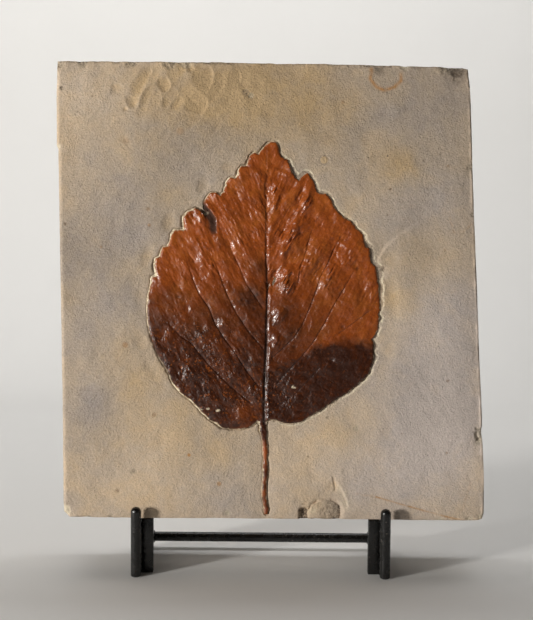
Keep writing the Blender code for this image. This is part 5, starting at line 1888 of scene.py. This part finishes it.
def plate_mesh(x):
    """The flat side plate between prong and post."""
    top = SLAB_BOTTOM - JOINT_GAP
    front_top = in_space(x, top, PRONG_N - ROD_R - JOINT_GAP)
    rear_top = in_space(x, top, POST_N + ROD_R + JOINT_GAP)
    front_y = in_space(x, top, PRONG_N)[1] + ROD_R + JOINT_GAP
    drop = rear_top[2] / math.cos(LEAN)
    rear_low = in_space(x, top - drop, POST_N + ROD_R + JOINT_GAP)
    front_level = front_top[2] - (front_y - front_top[1]) * math.tan(LEAN)
    profile = [(front_y, 0.0), (rear_low[1], 0.0), (rear_top[1], rear_top[2]), (front_y, front_level)]
    return upright_mesh(front_top[0], PLATE_THICK, profile)


def stand_side(side, x, inward, seed):
    """One prong, post, front leg and side plate, with the seams of the plate and the leg."""
    prong_x, prong_y, _ = in_space(x, SLAB_BOTTOM, PRONG_N)
    prong = rod_mesh("prong", (prong_x, prong_y, 0.0), (prong_x, prong_y, PRONG_TOP), 0.9 * MM, ROD_R)
    slide = -in_space(x, FLOOR_V, POST_N)[2] / math.cos(LEAN)
    foot = in_space(x, FLOOR_V + slide, POST_N)
    post = rod_mesh("post", foot, in_space(x, POST_TOP, POST_N), 0.1 * MM, 1.1 * MM, True)
    top = SLAB_BOTTOM - SEAM_BELOW
    front = prong_y + ROD_R - SEAM_SUNK
    rear_n = POST_N + ROD_R - SEAM_SUNK
    seams = []
    for out in (-1, 1):
        offset = out * 0.5 * PLATE_THICK
        front_x = prong_x + offset
        seams.append(straight((front_x, front, SEAM_LOW), (front_x, front, PLATE_SEAM_TOP), 4))
        rear_low = in_space(x + offset, FLOOR_V + slide + SEAM_LOW, rear_n)
        seams.append(straight(rear_low, in_space(x + offset, top - SEAM_BELOW, rear_n), 4))
    leg_y = in_space(x, top, LEG_FRONT_N - LEG_DEEP)[1]
    corner = prong_x + inward * 0.5 * PLATE_THICK
    leg_seam = straight((corner, leg_y, SEAM_LOW), (corner, leg_y, LEG_SEAM_TOP), 4)
    leg = [leg_mesh(x, inward), beads([leg_seam], 8)]
    plate = [plate_mesh(x), beads(seams, seed)]
    made = {}
    for node, ending, meshes in (
        ("prong_", "_rod", [prong]),
        ("post_", "_rod", [post]),
        ("front_leg_", "_bar", leg),
        ("side_plate_", "_steel", plate),
    ):
        made[node + side] = stand_piece(node + side + ending, meshes)
    return made


def build_stand():
    """Two prongs, side plates, front legs, posts and crossbars, with a weld bead at every joint."""
    made = {**stand_side("left", LEFT_X, 1, 3), **stand_side("right", RIGHT_X, -1, 4)}
    reach = ROD_R + JOINT_GAP
    low_v = (LOW_BAR_Z - FACE_Z - POST_N * math.sin(LEAN)) / math.cos(LEAN)
    for name, v in (("crossbar_low", low_v), ("crossbar_high", HIGH_BAR_V)):
        a = in_space(LEFT_X + reach, v, POST_N)
        b = in_space(RIGHT_X - reach, v, POST_N)
        bar = rod_mesh("bar", a, b, 0.1 * MM, 0.1 * MM)
        rings = [
            weld_ring((end[0] + inward * SEAM_SUNK, end[1], end[2]), ROD_R - 0.1 * MM)
            for end, inward in ((a, 1), (b, -1))
        ]
        made[name] = stand_piece(name + "_rod", [bar, beads(rings, 6, RING_DROP, RING_SPACING)])
    return made


# What each piece rides on, replaces and is made of
slab = build_slab()
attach(slab, "root")
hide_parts("matrix_slab")

leaf = build_leaf()
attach(leaf, "root")
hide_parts("fossil_leaf")

for node, piece in build_stand().items():
    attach(piece, "root")
    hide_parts(node)


# Floor, backdrop, lights and camera
PAPER_DARK = (0.76, 0.75, 0.73)
PAPER_LIGHT = (0.80, 0.79, 0.77)

# The paper's front end, where it begins to curve, the curve's radius, its top and its half width, in metres
FLOOR_FRONT = -1.6
CURVE_FROM = 0.55
CURVE_RADIUS = 0.35
PAPER_TOP = 1.8
PAPER_HALF_WIDE = 2.0

# Camera distance from the slab's face in metres and lens in millimetres
CAMERA_AWAY = 0.6
CAMERA_LENS = 63.34

# Soft lights: direction from the face (right, up, out), distance, size, watts and colour
SOFT_LIGHTS = {
    "key": ((-0.800, 0.04, 0.600), 1.4, 0.16, 16.8, (1.0, 0.975, 0.935)),
    "sheen": ((-0.560, 0.16, 0.820), 1.5, 0.20, 1.7, (1.0, 0.965, 0.930)),
    "low_sheen": ((-0.640, -0.400, 0.680), 1.5, 0.16, 0.6, (1.0, 0.975, 0.950)),
    "fill": ((0.75, 0.55, 0.75), 1.8, 1.4, 0.5, (1.0, 0.98, 0.95)),
}

# The light on the backdrop: its place, the point it is turned to, its width and depth, and its watts
BACKDROP_AT = (0.0, 0.25, 1.0)
BACKDROP_AIM = (0.0, 0.85, 0.25)
BACKDROP_WIDE = 1.6
BACKDROP_DEEP = 0.3
BACKDROP_WATTS = 7.0

# The faint even light of the surroundings
WORLD_COLOUR = (1.0, 0.96, 0.91, 1.0)
WORLD_STRENGTH = 0.020


def stage_material():
    made, tree, shader, where = new_material("pale_paper")
    paper = mixed(tree, mottled(tree, where, 180.0, 0.6), PAPER_DARK, PAPER_LIGHT)
    tree.links.new(paper, shader.inputs["Base Color"])
    shader.inputs["Roughness"].default_value = 0.9
    return made


def build_stage():
    """One sheet of pale paper: level floor that curves up into the backdrop."""
    profile = [(FLOOR_FRONT, 0.0), (CURVE_FROM, 0.0)]
    for t in np.linspace(0.1, math.pi / 2, 16):
        profile.append((CURVE_FROM + CURVE_RADIUS * math.sin(t), CURVE_RADIUS - CURVE_RADIUS * math.cos(t)))
    profile.append((CURVE_FROM + CURVE_RADIUS, PAPER_TOP))
    points = [(x, y, z) for y, z in profile for x in (-PAPER_HALF_WIDE, PAPER_HALF_WIDE)]
    faces = [(2 * i, 2 * i + 1, 2 * i + 3, 2 * i + 2) for i in range(len(profile) - 1)]
    mesh = bpy.data.meshes.new("paper_sweep")
    mesh.from_pydata(points, [], faces)
    mesh.polygons.foreach_set("use_smooth", np.ones(len(mesh.polygons), bool))
    mesh.materials.append(stage_material())
    sweep = linked("paper_sweep", mesh)


def area_light(name, shape, size, watts, at, aim):
    """An area light at a point, turned to another."""
    data = bpy.data.lights.new(name, "AREA")
    data.shape = shape
    data.size = size
    data.energy = watts
    lamp = linked(name, data)
    lamp.location = at
    lamp.rotation_euler = (Vector(aim) - Vector(at)).to_track_quat("-Z", "Y").to_euler()
    return data


def soft_light(name, towards, distance_away, size, watts, colour):
    """A square soft light seen from the slab in a given direction of its face, turned to the slab."""
    at = in_space(*(Vector(towards).normalized() * distance_away))
    area_light(name, "SQUARE", size, watts, at, in_space(0.0, 0.0, 0.0)).color = colour


def backdrop_light():
    """A wide light behind the slab, turned onto the paper behind it."""
    data = area_light("backdrop", "RECTANGLE", BACKDROP_WIDE, BACKDROP_WATTS, BACKDROP_AT, BACKDROP_AIM)
    data.size_y = BACKDROP_DEEP


def build_camera():
    """The camera straight in front of the face, turned as the set is in the picture."""
    data = bpy.data.cameras.new("camera")
    data.sensor_width = 36.0
    data.lens = CAMERA_LENS
    data.sensor_fit = "AUTO"
    camera = linked("camera", data)
    back = Vector((0.0, -math.cos(LEAN), math.sin(LEAN)))
    up_face = Vector((0.0, math.sin(LEAN), math.cos(LEAN)))
    right = Vector((1.0, 0.0, 0.0)) * math.cos(SET_TURN) + up_face * math.sin(SET_TURN)
    up = up_face * math.cos(SET_TURN) - Vector((1.0, 0.0, 0.0)) * math.sin(SET_TURN)
    turn = Matrix((right, up, back)).transposed().to_4x4()
    camera.matrix_world = Matrix.Translation(in_space(0.0, 0.0, CAMERA_AWAY)) @ turn
    bpy.context.scene.camera = camera


build_stage()
for name, given in SOFT_LIGHTS.items():
    soft_light(name, *given)
backdrop_light()
world = bpy.data.worlds.new("studio")
world.use_nodes = True
background = world.node_tree.nodes["Background"]
background.inputs["Color"].default_value = WORLD_COLOUR
background.inputs["Strength"].default_value = WORLD_STRENGTH
bpy.context.scene.world = world
bpy.context.scene.view_settings.view_transform = "Standard"
build_camera()
